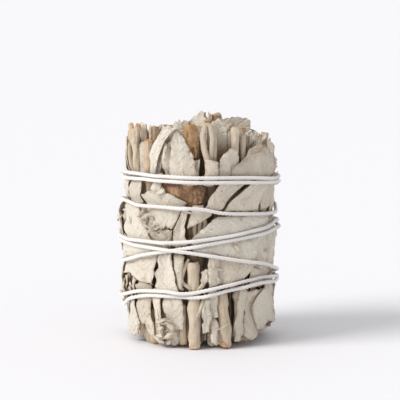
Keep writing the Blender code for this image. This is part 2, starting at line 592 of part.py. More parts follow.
def back_leaves(draw):
    """The leaves round the back. Odd sprigs press theirs in the middle layer, even ones below and above it."""
    bands = {
        0: ((2.8, 14.0), (13.4, 27.6), (26.8, 38.8), (37.6, 46.6)),
        1: ((1.4, 12.4), (11.4, 24.8), (24.0, 36.6), (35.8, 46.4)),
        2: ((2.0, 9.6), (10.6, 21.8), (20.8, 34.0), (33.2, 43.4)),
    }
    leaves = []
    for sprig in range(7, 11):
        middle = (CELL_STARTS[sprig] + cell_end(sprig)) / 2
        for layer in (1,) if sprig % 2 else (0, 2):
            half = 27.0 if layer == 1 else 24.0 if layer == 0 else 33.0
            for low, high in bands[layer]:
                middle_here = middle + draw.uniform(-5, 5)
                box = ((middle_here - half, middle_here + half), (low, min(high, ends_at(middle)[0] - 0.6)))
                heading = draw.choice((-1, 1)) * draw.uniform(34, 74)
                leaves.append(broad_leaf(sprig, layer, box, heading, draw))
    return leaves


def cell_end(sprig):
    return CELL_STARTS[sprig + 1] if sprig + 1 < len(CELL_STARTS) else CELL_STARTS[0] + 360


def material(name, colour, roughness):
    made = bpy.data.materials.new(name)
    made.use_nodes = True
    shader = made.node_tree.nodes["Principled BSDF"]
    shader.inputs["Base Color"].default_value = colour
    shader.inputs["Roughness"].default_value = roughness
    return made


def drop_scraps(mesh):
    """Keeps only the largest piece of a mesh: the rest are loose scraps and sealed hollows."""
    bm = bmesh.new()
    bm.from_mesh(mesh)
    left = set(bm.verts)
    pieces = []
    while left:
        piece = [left.pop()]
        for vert in piece:
            for edge in vert.link_edges:
                other = edge.other_vert(vert)
                if other in left:
                    left.remove(other)
                    piece.append(other)
        pieces.append(piece)
    pieces.sort(key=len)
    for piece in pieces[:-1]:
        bmesh.ops.delete(bm, geom=piece, context="VERTS")
    bm.to_mesh(mesh)
    bm.free()


def fuse(name, body, repeats, finish):
    """Joins a sprig's leaves and stems to its core as one body."""
    group = bpy.data.collections.new(name + "_repeats")
    bpy.context.scene.collection.children.link(group)
    for obj in repeats:
        bpy.context.scene.collection.objects.unlink(obj)
        group.objects.link(obj)
    join = body.modifiers.new("join", "BOOLEAN")
    join.operation = "UNION"
    join.operand_type = "COLLECTION"
    join.collection = group
    join.solver = "EXACT"
    bpy.context.view_layer.update()
    graph = bpy.context.evaluated_depsgraph_get()
    joined = bpy.data.meshes.new_from_object(body.evaluated_get(graph))
    body.modifiers.clear()
    drop_scraps(joined)
    for obj in repeats:
        bpy.data.objects.remove(obj)
    bpy.data.collections.remove(group)
    body.data = joined
    body.name = name
    joined.materials.clear()
    joined.materials.append(finish)
    return body


def surface_of(objects):
    """One search tree over the triangles of these objects, in millimetres."""
    points, faces = [], []
    for obj in objects:
        base = len(points)
        points += [v.co / MM for v in obj.data.vertices]
        for polygon in obj.data.polygons:
            ring = [base + i for i in polygon.vertices]
            faces += [(ring[0], a, b) for a, b in zip(ring[1:], ring[2:])]
    return BVHTree.FromPolygons(points, faces)


def twine_route():
    """(angle, height) of the whole winding, a point every FINE_STEP degrees."""
    knots = [(-180.0, KNOT_HEIGHT)]
    for turn, points in enumerate(TURNS):
        knots += [(angle + 360 * turn, height) for angle, height in points]
    knots.append((KNOT_ANGLE + 360 * (len(TURNS) - 1), KNOT_HEIGHT))
    route = []
    count = round((knots[-1][0] - knots[0][0]) / FINE_STEP)
    i = 0
    for k in range(count + 1):
        angle = knots[0][0] + k * FINE_STEP
        while i < len(knots) - 2 and angle > knots[i + 1][0]:
            i += 1
        slopes = []
        for j in (i, i + 1):
            a, b = knots[max(j - 1, 0)], knots[min(j + 1, len(knots) - 1)]
            slopes.append((b[1] - a[1]) / (b[0] - a[0]))
        (x0, y0), (x1, y1) = knots[i], knots[i + 1]
        t, span = (angle - x0) / (x1 - x0), x1 - x0
        height = y0 * (1 + 2 * t) * (1 - t) ** 2 + slopes[0] * span * t * (1 - t) ** 2
        height += y1 * t * t * (3 - 2 * t) - slopes[1] * span * t * t * (1 - t)
        route.append((angle, height))
    return route


def outermost(skin, angle, height, width):
    """How far out the bunch stands under a strand of this width."""
    out = 0.0
    for aside in (-1.5, 0.0, 1.5):
        for offset in (-0.9, -0.45, 0.0, 0.45, 0.9):
            start = place(angle + aside, height + offset * width, 40.0)
            hit = skin.ray_cast(start, place(angle + aside, 0, -1.0) - place(angle + aside, 0, 0))[0]
            if hit is not None:
                out = max(out, math.hypot(hit.x, hit.y))
    return out


def taut_radii(route, skin):
    """How far out the twine lies: over the leaves and its own earlier turns, and straight between them."""
    half = TWINE_DIAMETER / 2
    per_turn = round(360 / FINE_STEP)
    radii = []
    floor = []
    for angle, height in route:
        floor.append(outermost(skin, angle, height, TWINE_DIAMETER) + half + TWINE_GAP)
    apart = TWINE_DIAMETER + 0.12
    bend = math.cos(math.radians(FINE_STEP))
    radii = list(floor)
    for turn in range(len(route) // per_turn + 1):
        span = range(turn * per_turn, min((turn + 1) * per_turn, len(route)))
        for k in span:
            for below in range(k % per_turn, k, per_turn):
                gap = abs(route[k][1] - route[below][1])
                if gap < apart:
                    radii[k] = max(radii[k], radii[below] + math.sqrt(apart ** 2 - gap ** 2))
        first = max(span.start, 1)
        last = min(span.stop, len(route) - 1)
        for _ in range(60):
            for k in range(first, last):
                radii[k] = max(radii[k], 2 * bend / (1 / radii[k - 1] + 1 / radii[k + 1]))
    return radii


def wind_twine(skin, finish):
    """The twine as one bar wound round the bunch, knotted at the back."""
    route = twine_route()
    radii = taut_radii(route, skin)
    stride = round(TWINE_STEP / FINE_STEP)
    path = []
    for k in range(0, len(route), stride):
        near = radii[max(k - stride + 2, 0):k + stride - 1]
        radius = max(near) / math.cos(math.radians(TWINE_STEP / 2))
        path.append(place(route[k][0], route[k][1], radius))
    winding = tube("winding", path, TWINE_DIAMETER, 5)
    knot_radius = max(math.hypot(p.x, p.y) for p in (path[0], path[-1]))
    size = TWINE_DIAMETER
    loops = []
    for name, bow in TAILS.items():
        points = []
        for s in range(7):
            angle, height, lift = through(bow, s / 6)
            reach = outermost(skin, KNOT_ANGLE + angle, KNOT_HEIGHT + height, size) + size / 2 + TWINE_GAP
            points.append(place(KNOT_ANGLE + angle, KNOT_HEIGHT + height, max(knot_radius, reach) + lift))
        loops.append(tube("tail_" + name, points, size * (0.98 if name == "left" else 1.03), 5))
    return fuse("twine", winding, loops, finish)


def lay_leaves(leaves, twig_paths):
    """Each leaf's outline and the radii at which it rests, laid on layer by layer over the bare stems."""
    outlines = [leaf_outline(leaf) for leaf in leaves]
    pile = Pile()
    for trial in range(LEVELLINGS + 1):
        if trial:
            pile.level()
        for twig, path in twig_paths(pile):
            pile.lay_bar(path, twig.diameter)
        laid = {}
        for n in sorted(range(len(leaves)), key=lambda n: leaves[n].layer):
            laid[n] = (leaves[n], outlines[n], pile.lay(outlines[n]))
    return pile, laid


def twig_paths(pile):
    """Each twig with its (angle, height, radius) points, measured out from the cores."""
    made = []
    for twig in TWIGS:
        path = []
        steps = 1 if len(twig.points) == 2 else 4
        for s in range(steps + 1):
            angle, height, lift = through(twig.points, s / steps)
            path.append((angle, height, pile.core_at(angle, min(max(height, 6), 38)) + lift))
        made.append((twig, path))
    return made


def main():
    for obj in list(bpy.data.objects):
        bpy.data.objects.remove(obj)
    sage = material("sage", SAGE, 0.9)
    brown = material("brown_leaf", BROWN, 0.9)
    cotton = material("cotton", COTTON, 0.95)
    draw = random.Random(7)
    pile, laid = lay_leaves([*BROWN_LEAVES.values(), *FRONT_LEAVES, *back_leaves(draw)], twig_paths)
    sprigs = {}
    for sprig in range(len(CELL_STARTS)):
        start, end = CELL_STARTS[sprig], cell_end(sprig)
        cell = Cell(True, (start + end) / 2, (end - start) / 2, pile)
        repeats = folds_of(cell, draw, f"o{sprig}")
        for n, (leaf, outline, radii) in laid.items():
            if leaf.sprig == sprig:
                repeats.append(pressed_leaf(f"o{sprig}_leaf{n}", outline, radii))
                repeats.append(root_of(f"o{sprig}_root{n}", leaf, outline, radii, pile))
        for n, (twig, path) in enumerate(twig_paths(pile)):
            if twig.sprig == sprig:
                sides = 7 if twig.diameter > 1.5 else 5
                repeats.append(tube(f"o{sprig}_twig{n}", [place(*p) for p in path], twig.diameter, sides))
        for owner, angle, radius, low, high in UPRIGHT_STEMS:
            if owner == sprig:
                path = [place(angle, low, radius), place(angle, high, radius)]
                repeats.append(tube(f"o{sprig}_stem", path, STEM_DIAMETER, 7))
        sprigs[f"outer_sprig_{sprig + 1:02d}"] = (core(f"o{sprig}_core", cell, 12), repeats)
    for n in range(INNER_COUNT):
        cell = Cell(False, 20 + 360 * n / INNER_COUNT, 0, pile)
        repeats = folds_of(cell, draw, f"i{n}")
        path = [place(cell.angle, draw.uniform(0.3, 1.5), INNER_RING), place(cell.angle, draw.uniform(46, 48.6), INNER_RING)]
        repeats.append(tube(f"i{n}_stem", path, STEM_DIAMETER - 0.4, 6))
        sprigs[f"inner_sprig_{n + 1:02d}"] = (core(f"i{n}_core", cell, 8), repeats)
    stem = tube("bare_stem", [place(0, 0.6, 0), place(0, 48.0, 0)], 2.8, 8)
    stem.data.materials.append(sage)
    loose = []
    for name, (leaf, outline, radii) in zip(BROWN_LEAVES, (laid[0], laid[1])):
        loose.append(pressed_leaf(name, outline, radii))
        loose[-1].data.materials.append(brown)
    skin = surface_of([obj for body, repeats in sprigs.values() for obj in [body, *repeats]] + loose)
    wind_twine(skin, cotton)
    for name, (body, repeats) in sprigs.items():
        fuse(name, body, repeats, sage)
    centre_on_origin()


def centre_on_origin():
    """Moves the whole bunch so that the middle of its box's floor is the origin."""
    corners = [v.co for obj in bpy.data.objects for v in obj.data.vertices]
    low = [min(c[k] for c in corners) for k in range(3)]
    high = [max(c[k] for c in corners) for k in range(3)]
    shift = Vector(((low[0] + high[0]) / 2, (low[1] + high[1]) / 2, low[2]))
    for obj in bpy.data.objects:
        for v in obj.data.vertices:
            v.co -= shift


main()
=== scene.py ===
"""The looks of the sage bunch: fine leaves, stems and twine in place of the plain solids, with its light.

Places on the bunch are an angle round it (degrees from the front, towards +X), a height above the cut
ends and a radius from its axis. Sizes are in millimetres until add_piece() turns them into metres.

Stalks, strips, leaves and crumbs are laid on one after another, each resting on what lies under it.
"""

import math
import random
from typing import NamedTuple

import bpy
import numpy as np
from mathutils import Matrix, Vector


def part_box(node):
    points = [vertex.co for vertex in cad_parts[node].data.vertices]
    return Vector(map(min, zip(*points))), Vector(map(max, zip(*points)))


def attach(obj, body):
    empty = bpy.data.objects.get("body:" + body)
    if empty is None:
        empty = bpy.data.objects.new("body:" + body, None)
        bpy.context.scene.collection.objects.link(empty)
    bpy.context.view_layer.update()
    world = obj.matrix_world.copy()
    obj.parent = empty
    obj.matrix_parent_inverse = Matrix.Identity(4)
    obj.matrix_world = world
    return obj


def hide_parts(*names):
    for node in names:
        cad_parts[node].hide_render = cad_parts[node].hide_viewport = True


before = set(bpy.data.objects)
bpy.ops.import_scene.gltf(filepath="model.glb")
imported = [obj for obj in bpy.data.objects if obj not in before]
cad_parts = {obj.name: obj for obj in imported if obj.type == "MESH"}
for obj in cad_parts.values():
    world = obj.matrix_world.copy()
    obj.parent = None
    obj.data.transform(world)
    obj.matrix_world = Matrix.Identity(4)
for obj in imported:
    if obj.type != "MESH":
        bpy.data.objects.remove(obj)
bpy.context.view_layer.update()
STEM_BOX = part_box("bare_stem")

# The middle stem stands on the bunch's axis. Its place in the frame says where that axis is.
AXIS_PLACE = Vector([(low + high) / 2 for low, high in zip(STEM_BOX[0], STEM_BOX[1])][:2] + [0.0])

MM = 0.001
HEIGHT = 50.0

# The reference surface: its radius, how much thinner it is at both ends, and how deep the twine sinks in.
SKIN_RADIUS = 16.4
BARREL = 0.7
GROOVE = 0.4
# Millimetres round the skin in one degree.
ARC = math.radians(16.0)
# The angle where each outer sprig's part of the outside starts.
CELL_STARTS = [-102.5, -66.0, -37.0, -15.5, 7.5, 34.0, 67.0, 105.0, 143.0, 181.0, 219.0]

# Leaves: thickness, the gap that is left under each, and the size of their mesh's squares.
BLADE = 0.3
LEAF_GAP = 0.07
FINE = 0.42
SHARP_ANGLE = math.radians(50)
# How far ragged margins stray.
TORN_BROAD = 0.14
TORN_CRUMB = 0.22
TORN_STRIP = 0.1
# How far a leaf spans the hollows under it: the more passes, the stiffer it is.
STIFF = 50
SUPPLE = 12
BRITTLE = 10
LIMP = 4
# The relief of a leaf, in millimetres.
RIPPLE = 0.045
RIDGE = (0.1, 0.26)
STEP = (0.08, 0.22)
DEAD_CREASES = 7
DEAD_RIDGE = (0.15, 0.45)
CRUMB_TILT = 0.12
FOLD = (0.25, 0.6)
RIB_RISES = (0.16, -0.12, 0.1)
RIB_WIDTH = 0.38
CURL = (-0.05, 0.45)
CURL_WIDTH = 1.5
# The width of the brown band along each leaf's margin, which is partly its own dry edge and partly painted
# shade.
MARGIN_WIDTH = 0.9

# The heaps of leaves: how many strips there are, where the pile starts, and how high each kind may lie.
STRIPS = 300
DEEP_STRIPS = 260
LEVELLING = 5
FIRST_REACH = -1.6
START_RANGE = (-5.0, -0.2)
UNDER_REACH = -3.5
UNDER_LIMIT = -2.5
STRIP_LIMIT = -0.4
LAYER_RISE = 0.65
CRUMB_LIMIT = 0.5

# The curled leaf ends inside: the map that keeps them apart, how many are tried and how many of them are
# wide, then how far out they go, half their thickness, and how they lean.
BLADE_CELL = 0.2
BLADE_MAP = 160
BLADE_TRIES = 5200
WIDE_BLADES = 60
BLADE_SPREAD = 14.0
BLADE_HALF = 0.13
BLADE_LEAN = 0.035
BLADE_SWAY = 0.06

CORE_RADIUS = 12.6
STEM_SIDES = 18
STEM_ROUGHNESS = 0.05
END_STAIN = 1.8

# The twine: its thickness, the degrees from point to point, how close two turns lie, and how often it is
# pulled tight. Then its plies, which twist once round in each pitch.
TWINE_DIAMETER = 0.85
FINE_STEP = 1.5
TURN_GAP = 0.97
PULLS = 220
PLIES = 3
PLY_PITCH = 2.6
PLY_STEP = 0.34
PLY_OFFSET = 0.235
PLY_HALF = 0.275
PLY_SIDES = 7

# How deep a place lies before painted shade darkens it, and how much deeper the painted shade is darkest:
# from the side and from the ends.
SHADE_START = 0.9
SHADE_DEPTH = 2.0
TOP_SHADE_START = 1.0
FOOT_SHADE_START = 0.8
END_SHADE_DEPTH = 5.0

# The light and the camera.
FLOOR_WHITE = (0.88, 0.876, 0.898, 1)
SKY_WHITE = (0.98, 0.978, 0.992, 1)
SKY_STRENGTH = 0.67
SUN_WHITE = (1.0, 0.985, 0.965)
SUN_STRENGTH = 2.4
SUN_WIDTH = math.radians(30)
SUN_AIM = Vector((0.77, 0.38, -0.64))
CAMERA_LIFT = math.radians(8)
CAMERA_DISTANCE = 0.45
CAMERA_AIM_HEIGHT = 0.025

# A tip or foot edge that runs straight between the margins, as (share across, millimetres).
PLAIN = ((0, 0), (1, 0))


def hump(share, rise):
    """A tip or foot edge that bends once."""
    return ((0, 0), (share, rise), (1, 0))


class Leaf(NamedTuple):
    """A leaf pressed on the outside. Its margins run from foot to tip as (angle, height).

    Leaves are laid on by layer, the lowest first.
    The tip and foot edges rise from the line between the margins by (share across, millimetres).
    """

    sprig: int
    layer: int
    left: list
    right: list
    tip: tuple = hump(0.5, 0.8)
    foot: tuple = hump(0.5, -0.4)


# The front of the bunch, from the top right to the bottom left.
FRONT_LEAVES = [
    # Above the top band of twine: a large torn leaf on the right, then the rest going left.
    Leaf(5, 1, [(26, 36.9), (24, 39.4)], [(87, 36.9), (89, 38.4)],
         ((0, 0), (0.14, 2.0), (0.21, 2.5), (0.235, 4.1), (0.36, 5.9), (0.42, 4.3), (0.47, 4.9),
          (0.53, 3.0), (0.6, 3.3), (0.68, 1.1), (0.84, 1.4), (1, 0)), PLAIN),
    Leaf(4, 0, [(14, 35.5), (15, 41.8)], [(33, 35.5), (31, 41.0), (29, 43.6)], hump(0.6, 1.2)),
    Leaf(3, 1, [(2.5, 36.2), (3.5, 41.6)], [(12.6, 36.2), (12.8, 41.3)], hump(0.5, 0.2)),
    Leaf(3, 2, [(-13, 36.4), (-12.5, 40), (-11, 43.6)], [(-3.6, 36.4), (-3.8, 40), (-6, 42.8)],
         hump(0.5, 0.6)),
    Leaf(3, 1, [(-8.6, 36.4), (-8, 40.6)], [(-1.4, 36.4), (-1, 41.4)], hump(0.6, 0.9)),
    Leaf(2, 1, [(-25, 36.4), (-24, 41), (-22, 46)], [(-8.5, 36.4), (-8.5, 43), (-12, 45.6)],
         hump(0.45, 2.4)),
    Leaf(1, 0, [(-41, 38), (-43, 43), (-33, 47.6)], [(-37, 38), (-34, 41.5), (-27, 45.6), (-19, 47.8)],
         hump(0.5, 0.5)),
    Leaf(6, 0, [(64, 38.6), (63, 44.4)], [(86, 38), (83, 43.6)], ((0, 0), (0.4, 0.9), (0.6, -0.6), (1, 0))),
    Leaf(0, 1, [(-96, 37.5), (-96, 43)], [(-77, 37.5), (-80, 44.5)], hump(0.6, 1.4)),
    # Between the top band and the second turn.
    Leaf(4, 2, [(4, 31.1), (8, 33.6), (14.5, 36.6)], [(16, 30.2), (24, 33.1), (41, 36.9)], hump(0.5, 0.5),
         hump(0.5, -0.2)),
    Leaf(5, 2, [(17.2, 30.2), (24.6, 32.5), (42.4, 36.5)], [(49, 29.9), (50.5, 33), (57, 36.8)],
         hump(0.5, 0.4), hump(0.5, -0.2)),
    Leaf(5, 1, [(52, 30), (51.5, 33), (57, 36.8)], [(69, 30), (71.5, 33.4), (69.5, 36.8)], hump(0.5, 0.2),
         hump(0.5, -0.2)),
    Leaf(6, 1, [(75, 28.8), (74.5, 36.8)], [(94, 29), (96, 36.8)], PLAIN),
    Leaf(2, 2, [(-36, 25.6), (-40, 28), (-43, 30.5), (-54, 33.2)],
         [(-21.5, 26.6), (-15.5, 30), (-10.5, 32.2)],
         ((0, 0), (0.25, 1.4), (0.55, 2.2), (0.8, 1.2), (1, 0)), hump(0.5, 0.5)),
    Leaf(1, 1, [(-43, 33.6), (-39.5, 36), (-35, 38)], [(-32, 33.6), (-30.5, 38)]),
    Leaf(0, 1, [(-96, 31.8), (-95, 36.8)], [(-79, 32), (-77, 36.8)], hump(0.5, 0.3)),
    Leaf(1, 0, [(-73, 30.8), (-72, 36.8)], [(-56, 31.4), (-55, 37.2)],
         ((0, 0), (0.3, 0.9), (0.6, -0.5), (1, 0))),
    # Between the second turn and the crossing turns.
    Leaf(1, 0, [(-62, 21.6), (-60, 30.4)], [(-27, 21.6), (-26, 30.0)], hump(0.5, 0.4), PLAIN),
    Leaf(0, 1, [(-96, 21.8), (-96, 31.2)],
         [(-42, 21.8), (-43, 24.4), (-48, 26.8), (-55, 28.8), (-57, 30.8)], hump(0.5, 0.2), PLAIN),
    Leaf(1, 2, [(-51.5, 27.4), (-52.5, 29)], [(-44, 27.6), (-44.6, 29.4)], hump(0.5, 0.9), hump(0.5, -0.7)),
    Leaf(2, 1, [(-38.5, 22.2), (-39, 25.2)], [(-25, 22.2), (-22, 25.8)], hump(0.5, 0.4), PLAIN),
    Leaf(2, 2, [(-24.5, 22.8), (-20, 26), (-13, 31.2)], [(-10.5, 22.8), (-11.5, 26.5), (-8, 31.2)], PLAIN,
         PLAIN),
    Leaf(3, 1, [(-10, 26.7), (-7, 31.4)], [(9, 29.4), (10, 31.4)], PLAIN, PLAIN),
    Leaf(6, 2, [(88, 25.0), (52, 22.8), (44, 19.2), (30, 19.6), (10, 20.8), (-5, 21.4)],
         [(88, 28.2), (50, 29.0), (23, 29.3), (12, 28.8), (3, 27), (-7, 24.3)], PLAIN, PLAIN),
    Leaf(6, 1, [(41, 18.4), (44, 25)], [(92, 16), (92, 25)], PLAIN, hump(0.4, -1.2)),
    Leaf(0, 2, [(-98, 16.8), (-60, 19.5), (-42, 20.9), (-26, 22.0)],
         [(-98, 23.2), (-60, 23.4), (-42, 23.4), (-27, 23.2)], PLAIN, PLAIN),
    # Between the crossing turns and the bottom band.
    Leaf(1, 1, [(-90, 14.4), (-72, 15.2), (-57, 14.6), (-41, 13.8)],
         [(-88, 18.4), (-60, 19.6), (-36, 20.6)], PLAIN, PLAIN),
    Leaf(2, 2, [(-37.5, 12.4), (-36.5, 16), (-34, 20.6)], [(-16.5, 12.4), (-19, 16), (-22, 21.2)], PLAIN,
         PLAIN),
    Leaf(2, 0, [(-21, 13.4), (-20.5, 20.6)], [(-13, 13.4), (-12.5, 20.6)]),
    Leaf(3, 0, [(0.6, 15), (0.6, 17.8)], [(6, 15.2), (6.4, 17.6)]),
    Leaf(4, 2, [(6.5, 13.8), (5.2, 17), (5.4, 20.4)], [(16.5, 14.6), (14, 17), (15, 20.6)]),
    Leaf(4, 1, [(13, 14.2), (14, 20.6)], [(36, 15.4), (48, 18.6), (48, 20.4)], PLAIN),
    Leaf(6, 0, [(42, 13.2), (42, 17.4)], [(96, 12.8), (96, 18.4)], PLAIN, hump(0.3, -0.4)),
    # Below the bottom band.
    Leaf(2, 0, [(-31, 2.2), (-31.5, 7), (-31, 12.7)], [(-13.5, 4.4), (-14, 8), (-14, 12.7)], PLAIN,
         ((0, 0), (0.3, 0.9), (0.6, 0.5), (1, 0))),
    Leaf(1, 1, [(-36.5, 1.0), (-38, 6), (-44, 12.8)], [(-32.5, 1.0), (-32.5, 6), (-33, 12.8)], PLAIN),
    Leaf(1, 2, [(-46, 2.4), (-50.5, 4.6), (-46, 7)], [(-41, 2.4), (-40.6, 4.6), (-43.4, 7)]),
    Leaf(0, 2, [(-75, 1.4), (-74, 5), (-68, 10)], [(-61, 2.2), (-56.5, 5), (-62, 9.6)]),
    Leaf(0, 1, [(-97, 2.6), (-97, 12.8)], [(-78, 1.6), (-76.5, 12.4)]),
    Leaf(1, 0, [(-62, 4.6), (-60, 13.4)], [(-45, 5.6), (-44.6, 13.4)]),
    Leaf(3, 1, [(2, 3.8), (1.6, 8), (3.2, 11)], [(7, 4.2), (8.4, 7), (6, 11)]),
    Leaf(4, 0, [(8.4, 1.4), (8.2, 6.6)], [(13.2, 1.2), (13, 6.6)]),
    Leaf(4, 0, [(6.4, 7.4), (5.6, 12.6)], [(13.6, 7.4), (12.6, 12.8)]),
    Leaf(4, 1, [(28, 1.6), (27.4, 6), (31, 13.4)], [(33.6, 1.6), (35.6, 6), (36.8, 13.4)]),
    Leaf(5, 2, [(49, 3.7), (43, 8), (46.5, 11), (55, 13)], [(60, 4.4), (67, 7.6), (65, 11), (58, 13)]),
    Leaf(6, 1, [(61, 5), (61, 14.4)], [(92, 3.2), (96, 14.4)]),
    Leaf(5, 0, [(37, 2.2), (37.4, 12.6)], [(52, 1.8), (55, 12.4)], PLAIN, hump(0.5, -0.6)),
]

# Two dead brown leaves that hang on no stem.
BROWN_LEAVES = {
    "brown_leaf_front": Leaf(
        -1, 0, [(-33, 30.2), (-34, 37.2)], [(1, 30.4), (4.5, 37.2)], PLAIN,
        ((0, 0.9), (0.25, -0.5), (0.45, -1.2), (0.6, -0.5), (0.75, 0.4), (1, 2.2)),
    ),
    "brown_leaf_top": Leaf(
        -1, 0, [(-13, 35.2), (-14, 42.6), (-13.4, 48.6)], [(-6, 35.2), (-3.4, 42), (-2.4, 48.2)],
        hump(0.5, 0.6),
    ),
}
BROWN_TONES = {"brown_leaf_front": 0.0, "brown_leaf_top": 1.0}

# How high the leaf ends stand round the bunch, as (angle, top, foot).
ENDS = [
    (-180, 48.4, 1.0), (-150, 46.0, 0.8), (-120, 45.2, 1.0), (-90, 46.4, 1.2), (-70, 47.4, 1.0),
    (-45, 46.4, 1.0), (-20, 48.2, 1.0), (0, 47.2, 0.8), (30, 48.6, 1.0), (50, 45.8, 1.2),
    (75, 43.0, 3.4), (95, 42.6, 3.6), (115, 45.4, 1.6), (150, 48.0, 1.0), (180, 48.4, 1.0),
]

# The twine's turns across the front, each from left to right as (angle, height), in the order it is wound.
TURNS = [
    [(-88, 9.8), (-54, 12.0), (-28, 12.7), (-9, 12.6), (10, 13.7), (30, 14.6), (53, 14.9), (87, 14.0)],
    [(-88, 7.7), (-62, 10.2), (-42, 11.4), (-20, 11.7), (-1, 11.8), (22, 13.1), (53, 13.9), (87, 13.0)],
    [(-88, 17.4), (-42, 20.6), (-20, 21.9), (-1, 22.9), (22, 23.8), (52, 24.7), (87, 25.1)],
    [(-88, 31.1), (-42, 31.1), (-20, 31.1), (-1, 31.0), (15, 30.0), (34, 29.5), (87, 28.9)],
    [(-88, 37.2), (-42, 37.8), (-1, 37.7), (39, 37.3), (87, 36.1)],
    [(-88, 36.2), (-42, 36.8), (-1, 36.7), (39, 36.3), (87, 35.1)],
    [(-88, 23.4), (-42, 23.4), (-20, 23.6), (-1, 24.1), (22, 24.8), (52, 25.9), (87, 26.3)],
    [(-88, 22.4), (-42, 22.1), (-20, 21.9), (6, 20.8), (34, 19.2), (57, 17.9), (87, 15.4)],
]
KNOT_ANGLE = 180.0
KNOT_HEIGHT = 11.0
# The knot's two tails, left and right, as (angle from the knot, height from it, lift).
TAILS = [
    [(3, -0.4, 0.1), (1, 0.7, 0.4), (-3, 0.1, 0.5), (-3.6, -3.2, 0.4), (-8, -6.8, 0.3)],
    [(-3, -0.3, 0.0), (-1, 0.6, 0.6), (3, 0.2, 0.8), (3.4, -3.0, 0.5), (7, -6.2, 0.4)],
]


def through(points, share):
    """A point at this share of a smooth curve through the given points."""
    last = len(points) - 1
    place = min(max(share, 0.0), 1.0) * last
    i = min(int(place), last - 1)
    t = place - i
    p1, p2 = points[i], points[i + 1]
    p0 = points[i - 1] if i else tuple(2 * a - b for a, b in zip(p1, p2))
    p3 = points[i + 2] if i + 2 <= last else tuple(2 * b - a for a, b in zip(p1, p2))
    return tuple(
        0.5 * (2 * b + (c - a) * t + (2 * a - 5 * b + 4 * c - d) * t * t + (3 * b - a - 3 * c + d) * t ** 3)
        for a, b, c, d in zip(p0, p1, p2, p3)
    )


def between(profile, share):
    """The height of a straight-line profile of (share, height) points at this share."""
    for (a, low), (b, high) in zip(profile, profile[1:]):
        if share <= b:
            return low + (high - low) * (share - a) / (b - a)
    return profile[-1][1]


def ends_at(angle):
    """How high the leaf ends stand at this angle: top and foot."""
    angle = (angle + 180) % 360 - 180
    top = between([(a, t) for a, t, _ in ENDS], angle)
    foot = between([(a, f) for a, _, f in ENDS], angle)
    return top, foot


def broad_leaf(sprig, layer, box, heading, draw):
    """An oval leaf that leans in an (angle, height) box, with slightly waved margins."""
    (left, right), (low, high) = box
    middle = ((left + right) / 2, (low + high) / 2)
    wide, tall = (right - left) * ARC, high - low
    h = math.radians(heading)
    width = 0.78 * min(wide, tall)
    length = min(wide / max(abs(math.sin(h)), 0.3), tall / max(abs(math.cos(h)), 0.3)) * 0.98
    forms = ((0.0, 0.42), (0.25, 0.9), (0.5, 1.0), (0.76, 0.8), (1.0, 0.26))
    margins = []
    for side in (-1, 1):
        margin = []
        for share, half in forms:
            run, off = (share - 0.5) * length, side * half * width / 2 * draw.uniform(0.92, 1.08)
            x = run * math.sin(h) + off * math.cos(h)
            y = run * math.cos(h) - off * math.sin(h)
            margin.append((middle[0] + x / ARC, middle[1] + y))
        margins.append(margin)
    return Leaf(sprig, layer, *margins, hump(0.5, 0.6))


def back_leaves(draw):
    """The leaves round the back, in two crossing layers.

    Odd sprigs press theirs in the middle layer, even ones below and above it.
    """
    bands = {
        0: ((2.8, 14.0), (13.4, 27.6), (26.8, 38.8), (37.6, 46.6)),
        1: ((1.4, 12.4), (11.4, 24.8), (24.0, 36.6), (35.8, 46.4)),
        2: ((2.0, 9.6), (10.6, 21.8), (20.8, 34.0), (33.2, 43.4)),
    }
    leaves = []
    for sprig in range(7, 11):
        middle = (CELL_STARTS[sprig] + cell_end(sprig)) / 2
        for layer in (1,) if sprig % 2 else (0, 2):
            half = 27.0 if layer == 1 else 24.0 if layer == 0 else 33.0
            for low, high in bands[layer]:
                middle_here = middle + draw.uniform(-5, 5)
                box = ((middle_here - half, middle_here + half), (low, min(high, ends_at(middle)[0] - 0.6)))
                heading = draw.choice((-1, 1)) * draw.uniform(34, 74)
                leaves.append(broad_leaf(sprig, layer, box, heading, draw))
    return leaves


def cell_end(sprig):
    """The angle where a sprig's part of the outside ends."""
    return CELL_STARTS[sprig + 1] if sprig + 1 < len(CELL_STARTS) else CELL_STARTS[0] + 360


def twine_route():
    """(angle, height) of the whole winding, a point every FINE_STEP degrees."""
    knots = [(-180.0, KNOT_HEIGHT)]
    for turn, points in enumerate(TURNS):
        knots += [(angle + 360 * turn, height) for angle, height in points]
    knots.append((KNOT_ANGLE + 360 * (len(TURNS) - 1), KNOT_HEIGHT))
    route = []
    count = round((knots[-1][0] - knots[0][0]) / FINE_STEP)
    i = 0
    for k in range(count + 1):
        angle = knots[0][0] + k * FINE_STEP
        while i < len(knots) - 2 and angle > knots[i + 1][0]:
            i += 1
        slopes = []
        for j in (i, i + 1):
            a, b = knots[max(j - 1, 0)], knots[min(j + 1, len(knots) - 1)]
            slopes.append((b[1] - a[1]) / (b[0] - a[0]))
        (x0, y0), (x1, y1) = knots[i], knots[i + 1]
        t, span = (angle - x0) / (x1 - x0), x1 - x0
        height = y0 * (1 + 2 * t) * (1 - t) ** 2 + slopes[0] * span * t * (1 - t) ** 2
        height += y1 * t * t * (3 - 2 * t) - slopes[1] * span * t * t * (1 - t)
        route.append((angle, height))
    return route


